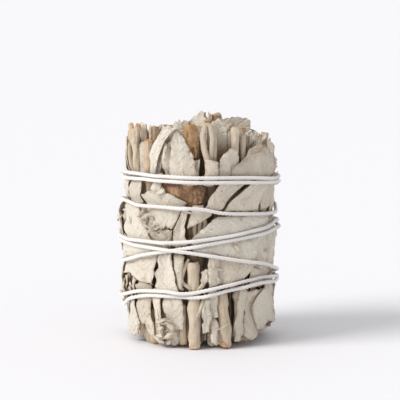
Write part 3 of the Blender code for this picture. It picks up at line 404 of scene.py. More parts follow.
# Stems and stalks that show on the outside, as (sprig, points, diameter, woodiness). Their points are
# (angle, height, proud of the skin).
STALKS = [
    (3, [(-4.9, 0.2, 0.3), (-4.9, 2, 0.4), (-5.4, 10, 0.5), (-5.8, 19.4, 0.3)], 2.6, 0.3),
    (3, [(-6, 13.4, 0.5), (-13.2, 14.8, 0.4), (-13.8, 17, 0.3), (-9.6, 20, -0.3)], 0.9, 0.1),
    (3, [(-4, 12.6, 0.6), (1, 14.2, 0.4), (4.6, 16.2, -0.2)], 1.0, 0.1),
    (3, [(-4, 6.6, 0.6), (0.4, 9.4, 0.5), (4.8, 12.4, -0.1)], 1.0, 0.1),
    (3, [(-4.4, 21.6, -1.0), (-4.2, 30, -1.1)], 1.0, 0.3),
    (3, [(-0.6, 21.6, -0.9), (-0.8, 30, -1.0)], 0.9, 0.4),
    (3, [(3.4, 21.6, -1.0), (3.0, 30, -1.0)], 1.0, 0.2),
    (4, [(21, 0.8, 0.0), (21, 2, 0.2), (18.5, 8, 0.3), (16.8, 12.6, 0.1)], 2.5, 0.4),
    (4, [(31, 2.2, -0.2), (31.5, 8, 0.0), (31, 12.8, -0.2)], 1.6, 0.2),
    (1, [(-49, 0.3, -1.2), (-49, 2, -1.2), (-49.5, 8, -1.4)], 2.2, 0.6),
    (1, [(-49, 35, -0.5), (-48.6, 41, 0.1), (-49, 45.2, 0.2)], 2.3, 0.9),
    (1, [(-53, 36, -2.3), (-53, 48, -1.9)], 2.2, 0.8),
    (0, [(-70, 34, -0.6), (-68.5, 41, 0.0), (-71, 47.4, 0.3)], 1.9, 0.3),
    (0, [(-74, 36, -0.4), (-77, 41, 0.2), (-86, 46.4, 0.4)], 1.0, 0.5),
    (0, [(-70, 42.6, -0.1), (-76, 45.4, 0.3), (-84, 48.0, 0.3)], 1.1, 0.3),
    (0, [(-69, 43.4, -0.1), (-63, 46.0, 0.2), (-61, 48.4, 0.3)], 1.1, 0.3),
    (3, [(6.2, 37.4, -1.0), (6.6, 41, -0.3), (9.4, 44.6, 0.0), (8.0, 48.4, 0.1), (3.6, 48.8, 0.1),
         (2.0, 45.4, 0.2), (5.6, 41.6, 0.5), (5.8, 38.4, 0.5)], 1.15, 0.1),
    (4, [(11.8, 38, -1.2), (10.8, 45.4, -0.4), (10.6, 49.2, -0.6)], 1.3, 0.1),
    (4, [(29.8, 35, -1.0), (29.8, 48.4, -0.4)], 1.7, 0.2),
    (5, [(37.4, 36, -1.0), (37.4, 46.6, -0.2)], 1.2, 0.2),
    (2, [(-15.6, 0.8, -0.9), (-15.2, 10, -0.8)], 1.5, 0.4),
    (1, [(-38.6, 1.0, -0.4), (-39.6, 11, -0.2)], 1.3, 0.2),
    (0, [(-60.6, 2.2, -0.4), (-57.4, 9, -0.3)], 1.3, 0.3),
]

# Upright stems inside the bunch as (x, y, diameter, foot, top, woodiness).
INNER_STEMS = [
    (-10.3, -0.9, 2.4, 0.0, 46.0, 0.8), (-4.4, -9.4, 2.2, 0.9, 48.2, 0.5), (8.2, -7.0, 2.4, 0.0, 46.2, 0.7),
    (10.8, -0.7, 2.3, 2.2, 43.4, 0.6), (8.8, 5.9, 2.4, 0.6, 46.6, 0.8), (3.5, 10.5, 2.2, 0.0, 48.9, 1.0),
    (-3.5, 10.2, 2.3, 0.0, 46.8, 1.0), (-8.8, 5.8, 2.3, 0.0, 45.2, 0.8), (1.8, -5.0, 2.0, 0.6, 47.2, 0.6),
    (5.3, 0.2, 2.0, 1.0, 47.6, 0.5), (1.5, 5.1, 2.0, 0.4, 48.2, 0.9), (-4.4, 3.0, 2.0, 1.2, 47.0, 0.7),
    (-4.2, -3.2, 2.0, 0.7, 46.6, 0.5), (0.0, 0.0, 2.6, 0.6, 47.4, 0.9), (0.4, 13.0, 1.9, 1.0, 49.2, 1.0),
    (6.8, 11.2, 1.6, 1.4, 47.4, 0.6), (-6.6, 12.0, 1.7, 0.8, 46.4, 0.8), (12.6, 5.4, 1.5, 2.6, 44.6, 0.4),
    (-12.9, 3.0, 1.6, 1.2, 45.4, 0.6), (-0.9, -12.9, 2.0, 0.4, 24.0, 0.4),
]


class Sheet:
    """Grids over the skin: the reference surface, and how far out from it the bunch reaches so far."""

    turn = 480
    rise = 0.2
    rows = 260

    def __init__(self, reach):
        angles = np.arange(self.turn) * 360 / self.turn
        a = np.radians(angles)[:, None]
        z = (np.arange(self.rows) * self.rise)[None, :]
        barrel = -BARREL * ((z - HEIGHT / 2) / (HEIGHT / 2)) ** 2
        lumps = 0.2 * np.sin(3 * a + 0.9) + 0.16 * np.sin(5 * a + z / 9) + 0.14 * np.sin(8 * a - z / 6)
        self.groove = np.zeros((self.turn, self.rows))
        route = np.array(twine_route())
        for k in range(int(route[0, 0] // 360), int(route[-1, 0] // 360) + 1):
            height = np.interp(angles + 360 * k, route[:, 0], route[:, 1], left=-99, right=-99)
            self.groove = np.maximum(self.groove, np.exp(-((z - height[:, None]) / 0.95) ** 2))
        self.skin = SKIN_RADIUS + barrel + lumps - GROOVE * self.groove
        self.reach = np.full((self.turn, self.rows), reach) if np.ndim(reach) == 0 else reach.copy()
        self.taken = np.zeros((self.turn, self.rows), bool)
        self.calm = self.reach

    @staticmethod
    def padded(grid, axis, reach):
        """The grid with more cells at both sides: round the bunch it closes, along it the ends repeat."""
        around = ((reach, reach), (0, 0)) if axis == 0 else ((0, 0), (reach, reach))
        return np.pad(grid, around, "wrap" if axis == 0 else "edge")

    def spread(self, grid, axis, reach):
        """The grid with each cell at the mean of those near it along one axis."""
        total = np.cumsum(self.padded(grid, axis, reach), axis)
        total = np.concatenate([np.zeros_like(np.take(total, [0], axis)), total], axis)
        count = grid.shape[axis]
        width = 2 * reach + 1
        behind, ahead = range(count), range(width, width + count)
        return (np.take(total, ahead, axis) - np.take(total, behind, axis)) / width

    def widened(self, grid, reach):
        """The grid with each cell at the highest of those near it."""
        for axis in (0, 1):
            padded = self.padded(grid, axis, reach)
            near = [np.take(padded, range(k, k + grid.shape[axis]), axis) for k in range(2 * reach + 1)]
            grid = np.maximum.reduce(near)
        return grid

    def index(self, angle, height):
        """The grid cell at an angle and height, or at arrays of them."""
        i = np.round(np.asarray(angle) * self.turn / 360).astype(int) % self.turn
        j = np.clip(np.round(np.asarray(height) / self.rise).astype(int), 0, self.rows - 1)
        return i, j

    def cells(self, outline):
        """The grid cells under an outline's fine grid, filled in between its points."""
        fine = refined(outline, 3)
        return self.index(fine[..., 0], fine[..., 1])

    def radius(self, angle, height):
        """The reference surface's radius, smooth between the grid's points."""
        x = np.asarray(angle) * self.turn / 360
        y = np.clip(np.asarray(height) / self.rise, 0, self.rows - 1.001)
        i, j = np.floor(x).astype(int), np.floor(y).astype(int)
        u, v = x - i, y - j
        s = self.skin
        i0, i1 = i % self.turn, (i + 1) % self.turn
        return (s[i0, j] * (1 - u) + s[i1, j] * u) * (1 - v) + (s[i0, j + 1] * (1 - u) + s[i1, j + 1] * u) * v


def refined(grid, times):
    """A grid of values with more points between, by straight interpolation."""
    for axis in (0, 1):
        count = grid.shape[axis]
        place = np.linspace(0, count - 1, (count - 1) * times + 1)
        low = np.minimum(np.floor(place).astype(int), count - 2)
        share = (place - low).reshape([-1, 1, 1] if axis == 0 else [1, -1, 1])
        grid = np.take(grid, low, axis) * (1 - share) + np.take(grid, low + 1, axis) * share
    return grid


def wave(draw, count, waves):
    """A smooth random line of this many values, about -1 to 1."""
    t = np.linspace(0, 1, count)
    out = np.zeros(count)
    for k in range(1, waves + 1):
        out += draw.uniform(-1, 1) / k ** 0.6 * np.sin(2 * math.pi * (k * t + draw.random()))
    return out / 1.6


def jag(draw, count, corners):
    """A random line of this many values with sharp corners, about -1 to 1, like a torn edge."""
    places = sorted([0.0, 1.0] + [draw.random() for _ in range(corners)])
    return np.interp(np.linspace(0, 1, count), places, [draw.uniform(-1, 1) for _ in places])


def smooth(points, share):
    """Values of a smooth curve through points at an array of shares."""
    return np.array([through(points, float(s)) for s in share])


def fine_outline(leaf, draw, ragged):
    """A leaf's fine grid of (angle, height), foot to tip, with slightly ragged margins."""
    def span(a, b):
        return math.hypot((a[0] - b[0]) * ARC, a[1] - b[1])

    foot_mid = [(a + b) / 2 for a, b in zip(leaf.left[0], leaf.right[0])]
    tip_mid = [(a + b) / 2 for a, b in zip(leaf.left[-1], leaf.right[-1])]
    length = span(foot_mid, tip_mid)
    width = max(span(through(leaf.left, s), through(leaf.right, s)) for s in (0, 0.25, 0.5, 0.75, 1))
    blunt = [min(1.0, span(leaf.left[end], leaf.right[end]) / 3.0) for end in (0, -1)]
    rows = max(5, math.ceil(length / FINE))
    columns = max(5, math.ceil(width / FINE))
    run = ((tip_mid[0] - foot_mid[0]) * ARC / length, (tip_mid[1] - foot_mid[1]) / length)
    along, across = np.linspace(0, 1, rows + 1), np.linspace(0, 1, columns + 1)
    left, right = smooth(leaf.left, along), smooth(leaf.right, along)
    side = right - left
    size = np.maximum(np.hypot(side[:, 0] * ARC, side[:, 1]), 0.5)[:, None]
    corners = max(3, int(length / 1.4))
    torn = [(wave(draw, rows + 1, 5) + 1.6 * jag(draw, rows + 1, corners)) * ragged for _ in range(2)]
    left = left + side / size * torn[0][:, None]
    right = right + side / size * torn[1][:, None]
    corners = max(2, int(width / 1.2))
    tip = np.interp(across, *zip(*leaf.tip)) * blunt[1] + jag(draw, columns + 1, corners) * ragged * 3
    foot = np.interp(across, *zip(*leaf.foot)) * blunt[0] + jag(draw, columns + 1, corners) * ragged * 2
    rise = along[:, None] ** 2 * tip[None, :] + (1 - along[:, None]) ** 2 * foot[None, :]
    grid = left[:, None, :] * (1 - across)[None, :, None] + right[:, None, :] * across[None, :, None]
    grid[..., 0] += rise * run[0] / ARC
    grid[..., 1] += rise * run[1]
    grid[..., 1] = np.clip(grid[..., 1], 0.35, HEIGHT - 0.15)
    return grid, length, width


def crease(draw, across, along, width, length):
    """One soft ridge or sharp step across a leaf, in a random direction."""
    turn = draw.uniform(0, math.pi)
    off = across - draw.uniform(-0.4, 0.4) * width
    far = off * math.cos(turn) + (along - draw.random() * length) * math.sin(turn)
    far = far + 0.15 * np.sin(along * 2.1 + across * 1.3 + turn * 5)
    if draw.random() < 0.5:
        return draw.uniform(*RIDGE) * np.clip(1 - np.abs(far) / draw.uniform(0.5, 1.4), 0, 1)
    return draw.uniform(*STEP) * np.clip(far / 0.3 + 0.5, 0, 1)


def crumple(draw, across, along, width, length):
    """One of the deeper creases of a dead leaf, mostly slantwise."""
    turn, shift = draw.uniform(0.2, 1.2), draw.uniform(-0.5, 0.5)
    far = (across - shift * width) * math.cos(turn) + (along - draw.random() * length) * math.sin(turn)
    far = far + 0.25 * np.sin(along * 1.7 + across * 2.1 + shift * 9)
    return draw.uniform(*DEAD_RIDGE) * np.clip(1 - np.abs(far) / draw.uniform(0.5, 1.1), 0, 1)


def relief(sheet, grid, length, width, draw, style):
    """How far a leaf's surface stands out from its own lie: ribs, curls and crumples, in millimetres."""
    rows, columns = grid.shape[:2]
    u = np.linspace(-1, 1, columns)[None, :]
    v = np.linspace(0, 1, rows)[:, None]
    if style == "crumb":
        return draw.uniform(-CRUMB_TILT, CRUMB_TILT) * u + draw.uniform(-CRUMB_TILT, CRUMB_TILT) * (2 * v - 1)
    out = np.zeros((rows, columns))
    for _ in range(4):
        a, b = draw.uniform(1.2, 4.6), draw.uniform(1.0, 5.0)
        out += RIPPLE * np.sin(a * 3 * u + b * 4 * v + draw.uniform(0, 6.3))
    across, along = u * width / 2, v * length
    for _ in range(max(1, int(length * width / 40)) if style == "blade" else 1):
        out += crease(draw, across, along, width, length)
    for _ in range(DEAD_CREASES if style == "dead" else 0):
        out += crumple(draw, across, along, width, length)
    if style == "strip":
        fold = draw.uniform(-0.7, 0.7) + 0.25 * wave(draw, rows, 2)[:, None]
        rise = draw.uniform(*FOLD) * np.where(u > fold, (1 - u) / (1 - fold), (1 + u) / (1 + fold))
        out += rise if draw.random() < 0.6 else 0.5 * u * u
        out += 0.16 * wave(draw, rows, 7)[:, None] * np.sin(2.4 * u + draw.uniform(0, 6.3))
    else:
        out += draw.choice(RIB_RISES) * np.exp(-(u * width / 2 / RIB_WIDTH) ** 2)
        for side in (-1, 1):
            edge = np.clip((side * u - (1 - CURL_WIDTH / width)) * width / CURL_WIDTH, 0, 1)
            lift = draw.uniform(*CURL) * (0.5 + 0.5 * wave(draw, rows, 4))
            out += edge ** 2 * np.clip(lift, 0, 1)[:, None]
        out += np.clip((v - 0.8) / 0.2, 0, 1) ** 2 * draw.uniform(0, 0.3)
    out -= out.mean()
    where = sheet.index(grid[..., 0], grid[..., 1])
    return out * (1 - 0.75 * sheet.groove[where])


def depth_of(points, sheet):
    """How deep each point lies, from 0 at the bunch's outside or its leaf ends to 1: the share of painted
    shade it gets.
    """
    angle = np.degrees(np.arctan2(points[:, 0], -points[:, 1]))
    radius, height = np.hypot(points[:, 0], points[:, 1]), points[:, 2]
    outside = sheet.skin + sheet.spread(sheet.spread(sheet.widened(sheet.calm, 3), 0, 2), 1, 2)
    side = np.clip((outside[sheet.index(angle, height)] - radius - SHADE_START) / SHADE_DEPTH, 0, 1)
    ends = np.array(ENDS)
    top, foot = np.interp(angle, ends[:, 0], ends[:, 1]), np.interp(angle, ends[:, 0], ends[:, 2])
    below = np.where(height > HEIGHT / 2, top - TOP_SHADE_START - height, height - foot - FOOT_SHADE_START)
    under = np.clip(below / END_SHADE_DEPTH, 0, 1)
    return np.minimum(side, under)


def settle(sheet, grid, passes):
    """What lies under a leaf, and the leaf's own lie on it, smooth between the high points.

    Both are heights over the reference surface. More passes make a stiffer leaf.
    """
    wide = sheet.widened(sheet.reach, 2)
    need = wide[sheet.index(grid[..., 0], grid[..., 1])]
    out = need.copy()
    for _ in range(passes):
        padded = np.pad(out, 1, "edge")
        mean = (padded[:-2, 1:-1] + padded[2:, 1:-1] + padded[1:-1, :-2] + padded[1:-1, 2:]) / 4
        out = np.maximum(need, mean)
    return need, out


def across_path(path, lead):
    """Unit vectors at each point of a path: ahead along it, and two across it."""
    ahead = np.gradient(path, axis=0)
    ahead /= np.linalg.norm(ahead, axis=1)[:, None]
    side = np.cross(ahead, np.array(lead))
    side /= np.linalg.norm(side, axis=1)[:, None]
    return ahead, side, np.cross(ahead, side)


def turned(turn, side, up):
    """Unit vectors at a turn between two others."""
    return np.cos(turn)[..., None] * side + np.sin(turn)[..., None] * up


def run_of(path):
    """How far along a path each of its points is."""
    return np.concatenate([[0], np.cumsum(np.linalg.norm(np.diff(path, axis=0), axis=1))])


def gnarled(draw, count, turn, rough):
    """How a stem's radius varies along it and round it, with crushed ends."""
    scale = np.ones((count, len(turn)))
    for _ in range(5):
        fast, slant = draw.randint(2, 7), draw.uniform(-0.5, 0.5)
        steps = np.arange(count)[:, None] * slant
        scale += rough * draw.uniform(0.3, 1) * np.cos(fast * turn[None, :] + steps + draw.uniform(0, 6.3))
    for end in (slice(0, 2), slice(-2, None)):
        scale[end] *= 0.9 + 0.12 * np.cos(draw.randint(2, 4) * turn[None, :] + draw.uniform(0, 6.3))
    return scale


class Piece:
    """Mesh data for one piece: points in millimetres, faces, and each point's leaf coordinates and tint."""

    def __init__(self):
        self.points, self.faces, self.uv, self.tint, self.count = [], [], [], [], 0

    def add(self, points, faces, uv, tint):
        """Adds points and the faces that count them from zero."""
        self.points.append(points)
        self.faces += [np.asarray(f) + self.count for f in faces]
        self.uv.append(uv)
        self.tint.append(np.tile(tint, (len(points), 1)) if np.ndim(tint) == 1 else tint)
        self.count += len(points)

    def add_shell(self, outer, inner, size, tint, shade):
        """A closed thin sheet between two grids of points."""
        rows, columns = outer.shape[:2]
        n = rows * columns
        k = np.arange(n).reshape(rows, columns)
        top = np.stack([k[:-1, :-1], k[:-1, 1:], k[1:, 1:], k[1:, :-1]], -1).reshape(-1, 4)
        ring = np.concatenate([k[0, :-1], k[:-1, -1], k[-1, :0:-1], k[:0:-1, 0]])
        after = np.roll(ring, -1)
        rim = np.stack([ring, ring + n, after + n, after], -1)
        u, v = np.meshgrid(np.linspace(-0.5, 0.5, columns) * size[0], np.linspace(0, 1, rows) * size[1])
        uv = np.stack([u, v], -1).reshape(-1, 2)
        colour = np.tile(tint, (n, 1)).astype(float)
        colour[:, 3] = shade.reshape(-1)
        points = np.concatenate([outer.reshape(-1, 3), inner.reshape(-1, 3)])
        faces = [top, top[:, ::-1] + n, rim]
        self.add(points, faces, np.concatenate([uv, uv]), np.concatenate([colour, colour]))

    def add_bar(self, path, radii, sides, tint, end_tint, rough=0.0, draw=None):
        """A round bar along a path, with its ends closed by a slightly sunken disc."""
        path = np.asarray(path, float)
        ahead, side, up = across_path(path, (0.3, 0.9, 0.31))
        t = np.arange(sides) * 2 * math.pi / sides
        scale = gnarled(draw, len(path), t, rough) if rough else np.ones((len(path), sides))
        reach = np.asarray(radii)[:, None] * scale
        points = path[:, None, :] + reach[..., None] * turned(t[None, :], side[:, None, :], up[:, None, :])
        if rough:
            for end, way in ((0, -1), (-1, 1)):
                slope = draw.uniform(0.1, 0.3) * np.cos(t + draw.uniform(0, 6.3))
                slope = slope + 0.12 * np.cos(draw.randint(3, 6) * t)
                points[end] -= ahead[end] * way * (np.abs(slope) * radii[end])[:, None]
        n = len(path)
        k = np.arange(n * sides).reshape(n, sides)
        after = np.roll(k, -1, 1)
        quads = np.stack([k[:-1], after[:-1], after[1:], k[1:]], -1).reshape(-1, 4)
        length = run_of(path)
        uv = np.broadcast_arrays(np.linspace(-1, 1, sides)[None, :], length[:, None])
        colour = np.tile(np.asarray(tint, float), (n, sides, 1))
        if rough:
            near = length if path[-1, 2] < 0.8 * HEIGHT else np.minimum(length, length[-1] - length)
            colour[..., 3] *= np.clip(1 - near / END_STAIN, 0, 1)[:, None]
        self.add(points.reshape(-1, 3), [quads], np.stack(uv, -1).reshape(-1, 2), colour.reshape(-1, 4))
        for end, way in ((0, -1), (-1, 1)):
            self.add_end(points[end], path[end], ahead[end] * way, radii[end], way, end_tint)

    def add_end(self, ring, middle, out, radius, way, tint):
        """A bar's end: a disc inside its last ring, a little sunken.

        Its leaf coordinates mark it as a cut.
        """
        sides = len(ring)
        inner = middle + (ring - middle) * 0.55 - out * 0.05 * radius
        cap = np.concatenate([ring, inner, (middle - out * 0.16 * radius)[None]])
        i = np.arange(sides)
        j = np.roll(i, -1)
        rim = np.stack([i, j, j + sides, i + sides], -1)
        disc = np.stack([i + sides, j + sides, np.full(sides, 2 * sides)], -1)
        faces = [rim, disc] if way > 0 else [rim[:, ::-1], disc[:, ::-1]]
        radial = np.concatenate([np.ones(sides), np.full(sides, 0.55), [0.0]])
        uv = np.stack([radial, np.full(2 * sides + 1, -1.0)], -1)
        self.add(cap, faces, uv, np.asarray(tint, float))


def add_piece(name, piece, material, nodes, sheet=None):
    """A mesh object from gathered data, which rides on the part in place of the named plain solids."""
    mesh = bpy.data.meshes.new(name)
    points = np.concatenate(piece.points)
    points[:, 2] = np.clip(points[:, 2], 0.02, HEIGHT - 0.02)
    # How deep each point lies, for the painted shade between the leaves.
    painted_shade_depth = np.zeros(len(points)) if sheet is None else depth_of(points, sheet)
    points = points * MM + np.array(AXIS_PLACE)
    faces = [f for group in piece.faces for f in group.tolist()]
    mesh.from_pydata(points.tolist(), [], faces)
    mesh.update()
    uv = np.concatenate(piece.uv)
    layer = mesh.uv_layers.new(name="leaf")
    corners = np.zeros(len(mesh.loops), int)
    mesh.loops.foreach_get("vertex_index", corners)
    layer.data.foreach_set("uv", uv[corners].astype(np.float32).ravel())
    tint = mesh.attributes.new("tint", "FLOAT_COLOR", "POINT")
    tint.data.foreach_set("color", np.concatenate(piece.tint).astype(np.float32).ravel())
    deep = mesh.attributes.new("painted_shade_depth", "FLOAT", "POINT")
    deep.data.foreach_set("value", painted_shade_depth.astype(np.float32))
    mesh.polygons.foreach_set("use_smooth", [True] * len(mesh.polygons))
    mesh.set_sharp_from_angle(angle=SHARP_ANGLE)
    mesh.materials.append(material)
    obj = bpy.data.objects.new(name, mesh)
    bpy.context.scene.collection.objects.link(obj)
    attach(obj, "root")
    if nodes:
        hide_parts(*nodes)


def at(angle, height, radius):
    """Points from arrays of angle, height and radius."""
    a = np.radians(angle)
    return np.stack([radius * np.sin(a), -radius * np.cos(a), np.broadcast_to(height, np.shape(a))], -1)


def lay(sheet, piece, draw, outline, tint, style="blade", passes=STIFF):
    """Lays one fine leaf on the bunch and adds it to its piece."""
    grid, length, width = outline
    need, lie = settle(sheet, grid, passes)
    own = np.maximum(need, lie + relief(sheet, grid, length, width, draw, style))
    low = sheet.radius(grid[..., 0], grid[..., 1]) + own
    rows, columns = own.shape
    across, along = np.arange(columns), np.arange(rows)
    inward = np.minimum(across, across[::-1])[None, :], np.minimum(along, along[::-1])[:, None]
    edge = np.minimum(*inward) * FINE
    # Each point's share of the brown margin, which is partly painted shade along the edge.
    shade = np.clip(1 - edge / MARGIN_WIDTH, 0, 1)
    thin = BLADE * np.clip(0.35 + edge / 0.5, 0, 1)
    outer, inner = (at(grid[..., 0], grid[..., 1], radius) for radius in (low + thin, low))
    piece.add_shell(outer, inner, (width, length), tint, shade)
    fine = refined(np.concatenate([grid, own[..., None]], -1), 3)
    where = sheet.index(fine[..., 0], fine[..., 1])
    np.maximum.at(sheet.reach, where, fine[..., 2] + BLADE + LEAF_GAP)


def lay_stalk(sheet, piece, points, diameter, wood, draw):
    """A stem or stalk on the outside, which later leaves rest on."""
    rise = abs(points[-1][1] - points[0][1])
    steps = max(10, int(rise / 0.35) + 8)
    share = np.linspace(0, 1, steps)
    line = smooth(points, share)
    line[:, 0] += 0.16 / ARC * wave(draw, steps, 5)
    radius = sheet.radius(line[:, 0], line[:, 1]) + line[:, 2] - diameter / 2
    path = at(line[:, 0], line[:, 1], radius)
    girth = diameter / 2 * (0.97 + 0.05 * wave(draw, steps, 6))
    for _ in range(1 + int(diameter > 1.5)):
        girth = girth * (1 + 0.2 * np.exp(-((share - draw.random()) * rise / 0.7) ** 2))
    tint = [draw.uniform(0.35, 0.8), 0.3 + 0.5 * wood, wood * 0.35, float(wood >= 0.3)]
    piece.add_bar(path, girth, STEM_SIDES, tint, [draw.random(), 0.9, 0.85, 0], STEM_ROUGHNESS, draw)
    for angle, height, proud in smooth(points, np.linspace(0, 1, steps * 3)):
        half = diameter / 2
        for off in np.arange(-half, half + 0.01, 0.18):
            bulge = math.sqrt(max(half * half - off * off, 0)) - half
            i, j = sheet.index(angle + off / ARC, height)
            sheet.reach[i, j] = max(sheet.reach[i, j], proud + bulge + LEAF_GAP)
            sheet.taken[i, j] = True


def strip(angle, low, high, wide, lean, draw):
    """A narrow folded leaf on the outside."""
    left, right = [], []
    for share, half in ((0, 0.7), (0.3, 1), (0.7, 0.9), (1, draw.uniform(0.25, 0.8))):
        height = low + (high - low) * share
        middle = angle + lean * (share - 0.5) + draw.uniform(-0.5, 0.5)
        left.append((middle - wide / 2 * half / ARC, height))
        right.append((middle + wide / 2 * half / ARC, height))
    return Leaf(0, -1, left, right, hump(0.5, draw.uniform(-0.3, 1.2)))


def sprig_at(angle):
    """The sprig whose part of the outside this angle is in."""
    angle = (angle - CELL_STARTS[0]) % 360 + CELL_STARTS[0]
    return max(k for k, start in enumerate(CELL_STARTS) if start <= angle)


def home_of(leaf):
    """The sprig that a narrow leaf belongs to."""
    return sprig_at(sum(a for a, _ in leaf.left) / len(leaf.left))


def tint_of(draw, bright, brown=0.0):
    """A leaf's own colour: brightness, warmth, brownness, and a free channel for its margin."""
    tone = min(max(draw.gauss(bright, 0.2), 0), 1)
    return [tone, min(max(draw.gauss(0.4, 0.25), 0), 1), brown or max(0, draw.gauss(0.02, 0.08)), 0]


def inner_blades(pieces, draw, start, top):
    """Curled leaf ends that fill one end of the bunch without cutting each other."""
    free = np.ones((BLADE_MAP, BLADE_MAP), bool)

    def mark(x, y, reach):
        """The cells of the map round a place."""
        low, high = ([int((c + way * reach) / BLADE_CELL + BLADE_MAP / 2) for c in (x, y)] for way in (-1, 1))
        return tuple(slice(max(a, 0), b + 1) for a, b in zip(low, high))

    for x, y, diameter, _, head, _ in INNER_STEMS:
        if head > 30 or not top:
            free[mark(x, y, diameter / 2 + 0.15)] = False
    placed = 0
    for _ in range(BLADE_TRIES):
        wide = draw.uniform(2.2, 7.0) if placed < WIDE_BLADES else draw.uniform(1.4, 3.4)
        bend = draw.uniform(-1, 1) * draw.uniform(0.2, 1.0) * wide
        heading = draw.uniform(0, 2 * math.pi)
        spot = math.sqrt(draw.random()) * BLADE_SPREAD
        turn = draw.uniform(0, 2 * math.pi)
        count = max(5, int(wide / 0.35))
        t = np.linspace(-0.5, 0.5, count)
        x = spot * math.sin(turn) + wide * t * math.cos(heading) - bend * (t * t - 0.08) * math.sin(heading)
        y = -spot * math.cos(turn) + wide * t * math.sin(heading) + bend * (t * t - 0.08) * math.cos(heading)
        if np.hypot(x, y).max() > BLADE_SPREAD + 0.5:
            continue
        if not all(free[mark(a, b, 0.0)].all() for a, b in zip(x, y)):
            continue
        for a, b in zip(x, y):
            free[mark(a, b, 0.22)] = False
        placed += 1
        angle = math.degrees(math.atan2(x.mean(), -y.mean()))
        limit, floor = ends_at(angle)
        inner = 1 - min(math.hypot(x.mean(), y.mean()) / BLADE_SPREAD, 1)
        if top:
            end = min(limit + 0.6 - draw.random() ** 1.6 * 5.0, 49.6)
        else:
            end = floor + draw.random() ** 1.5 * 2.6 + inner * 0.4
        rows = max(6, int(abs(end - start) / 0.6))
        v = np.linspace(0, 1, rows)[:, None]
        crown = wave(draw, count, 4) * 0.45 + np.sin(math.pi * (t + 0.5)) * draw.uniform(0.2, 1.1)
        crown = crown[None, :] * (1 if top else -1)
        z = np.clip(start + (end - start) * v + crown * v ** 2, 0.3, 49.8)
        lean = 1 + BLADE_LEAN * v * draw.choice((0.7, 1))
        sway = wave(draw, rows, 2)[:, None] * BLADE_SWAY
        ahead = np.stack([np.gradient(x), np.gradient(y)], -1)
        ahead /= np.linalg.norm(ahead, axis=1)[:, None]
        normal = np.stack([-ahead[:, 1], ahead[:, 0]], -1) * BLADE_HALF
        outer, inner_side = (
            np.stack([(x + n[:, 0])[None, :] * lean + sway, (y + n[:, 1])[None, :] * lean, z], -1)
            for n in (normal, -normal)
        )
        # The blade's brown edges, partly painted shade.
        shade = np.broadcast_to(np.clip((np.abs(t) - 0.4) * 10, 0, 1)[None, :], (rows, count))
        tint = tint_of(draw, 0.5, 0.75 if draw.random() < 0.07 else 0.0)
        pieces[sprig_at(angle)].add_shell(outer, inner_side, (wide, abs(end - start)), tint, shade)


def twine_line(sheet):
    """The twine's points, lying on the leaves and on its own earlier turns, and taut between."""
    route = np.array(twine_route())
    half = TWINE_DIAMETER / 2
    wide = sheet.widened(sheet.reach, 1)
    floor = np.zeros(len(route))
    for off in (-0.36, -0.18, 0.0, 0.18, 0.36):
        for aside in (-0.7, 0.0, 0.7):
            where = sheet.index(route[:, 0] + aside, route[:, 1] + off)
            drop = half - math.sqrt(half * half - off * off)
            floor = np.maximum(floor, sheet.skin[where] + wide[where] - drop)
    floor += half
    turn = round(360 / FINE_STEP)
    radii = floor.copy()
    apart = TWINE_DIAMETER * TURN_GAP
    bend = math.cos(math.radians(FINE_STEP))
    for first in range(0, len(route), turn):
        last = min(first + turn, len(route))
        for k in range(first, last):
            for below in range(k % turn, k, turn):
                gap = abs(route[k, 1] - route[below, 1])
                if gap < apart:
                    radii[k] = max(radii[k], radii[below] + math.sqrt(apart ** 2 - gap ** 2))
        for _ in range(PULLS):
            part = radii[first:last]
            tight = 2 * bend / (1 / np.maximum(part[:-2], 1) + 1 / np.maximum(part[2:], 1))
            part[1:-1] = np.maximum(part[1:-1], tight)
    return route, radii


def twisted(piece, path, draw):
    """The twine's plies twisted along a path of points."""
    path = np.asarray(path)
    length = run_of(path)
    count = int(length[-1] / PLY_STEP)
    s = np.linspace(0, length[-1], count)
    line = np.stack([np.interp(s, length, path[:, k]) for k in range(3)], -1)
    _, side, up = across_path(line, (0.02, 0.03, 1.0))
    for ply in range(PLIES):
        t = 2 * math.pi * (s / PLY_PITCH + ply / PLIES)
        off = TWINE_DIAMETER * PLY_OFFSET * turned(t, side, up)
        girth = np.full(count, TWINE_DIAMETER * PLY_HALF) * (1 + 0.05 * wave(draw, count, 40))
        tint = [draw.uniform(0.4, 0.6), 0.5, 0, ply / PLIES]
        piece.add_bar(line + off, girth, PLY_SIDES, tint, tint)


def tail_paths(sheet, knot_radius):
    """The knot and its two short tails at the back."""
    paths = []
    for bow in TAILS:
        line = smooth(bow, np.linspace(0, 1, 50))
        angle, height = KNOT_ANGLE + line[:, 0], KNOT_HEIGHT + line[:, 1]
        wide = sheet.widened(sheet.reach, 2)
        where = sheet.index(angle, height)
        reach = sheet.skin[where] + wide[where] + TWINE_DIAMETER / 2
        calm = np.maximum(reach, np.convolve(np.pad(reach, 4, "edge"), np.ones(9) / 9, "valid"))
        paths.append(at(angle, height, np.maximum(calm, knot_radius * (line[:, 1] > -1)) + line[:, 2]))
    return paths


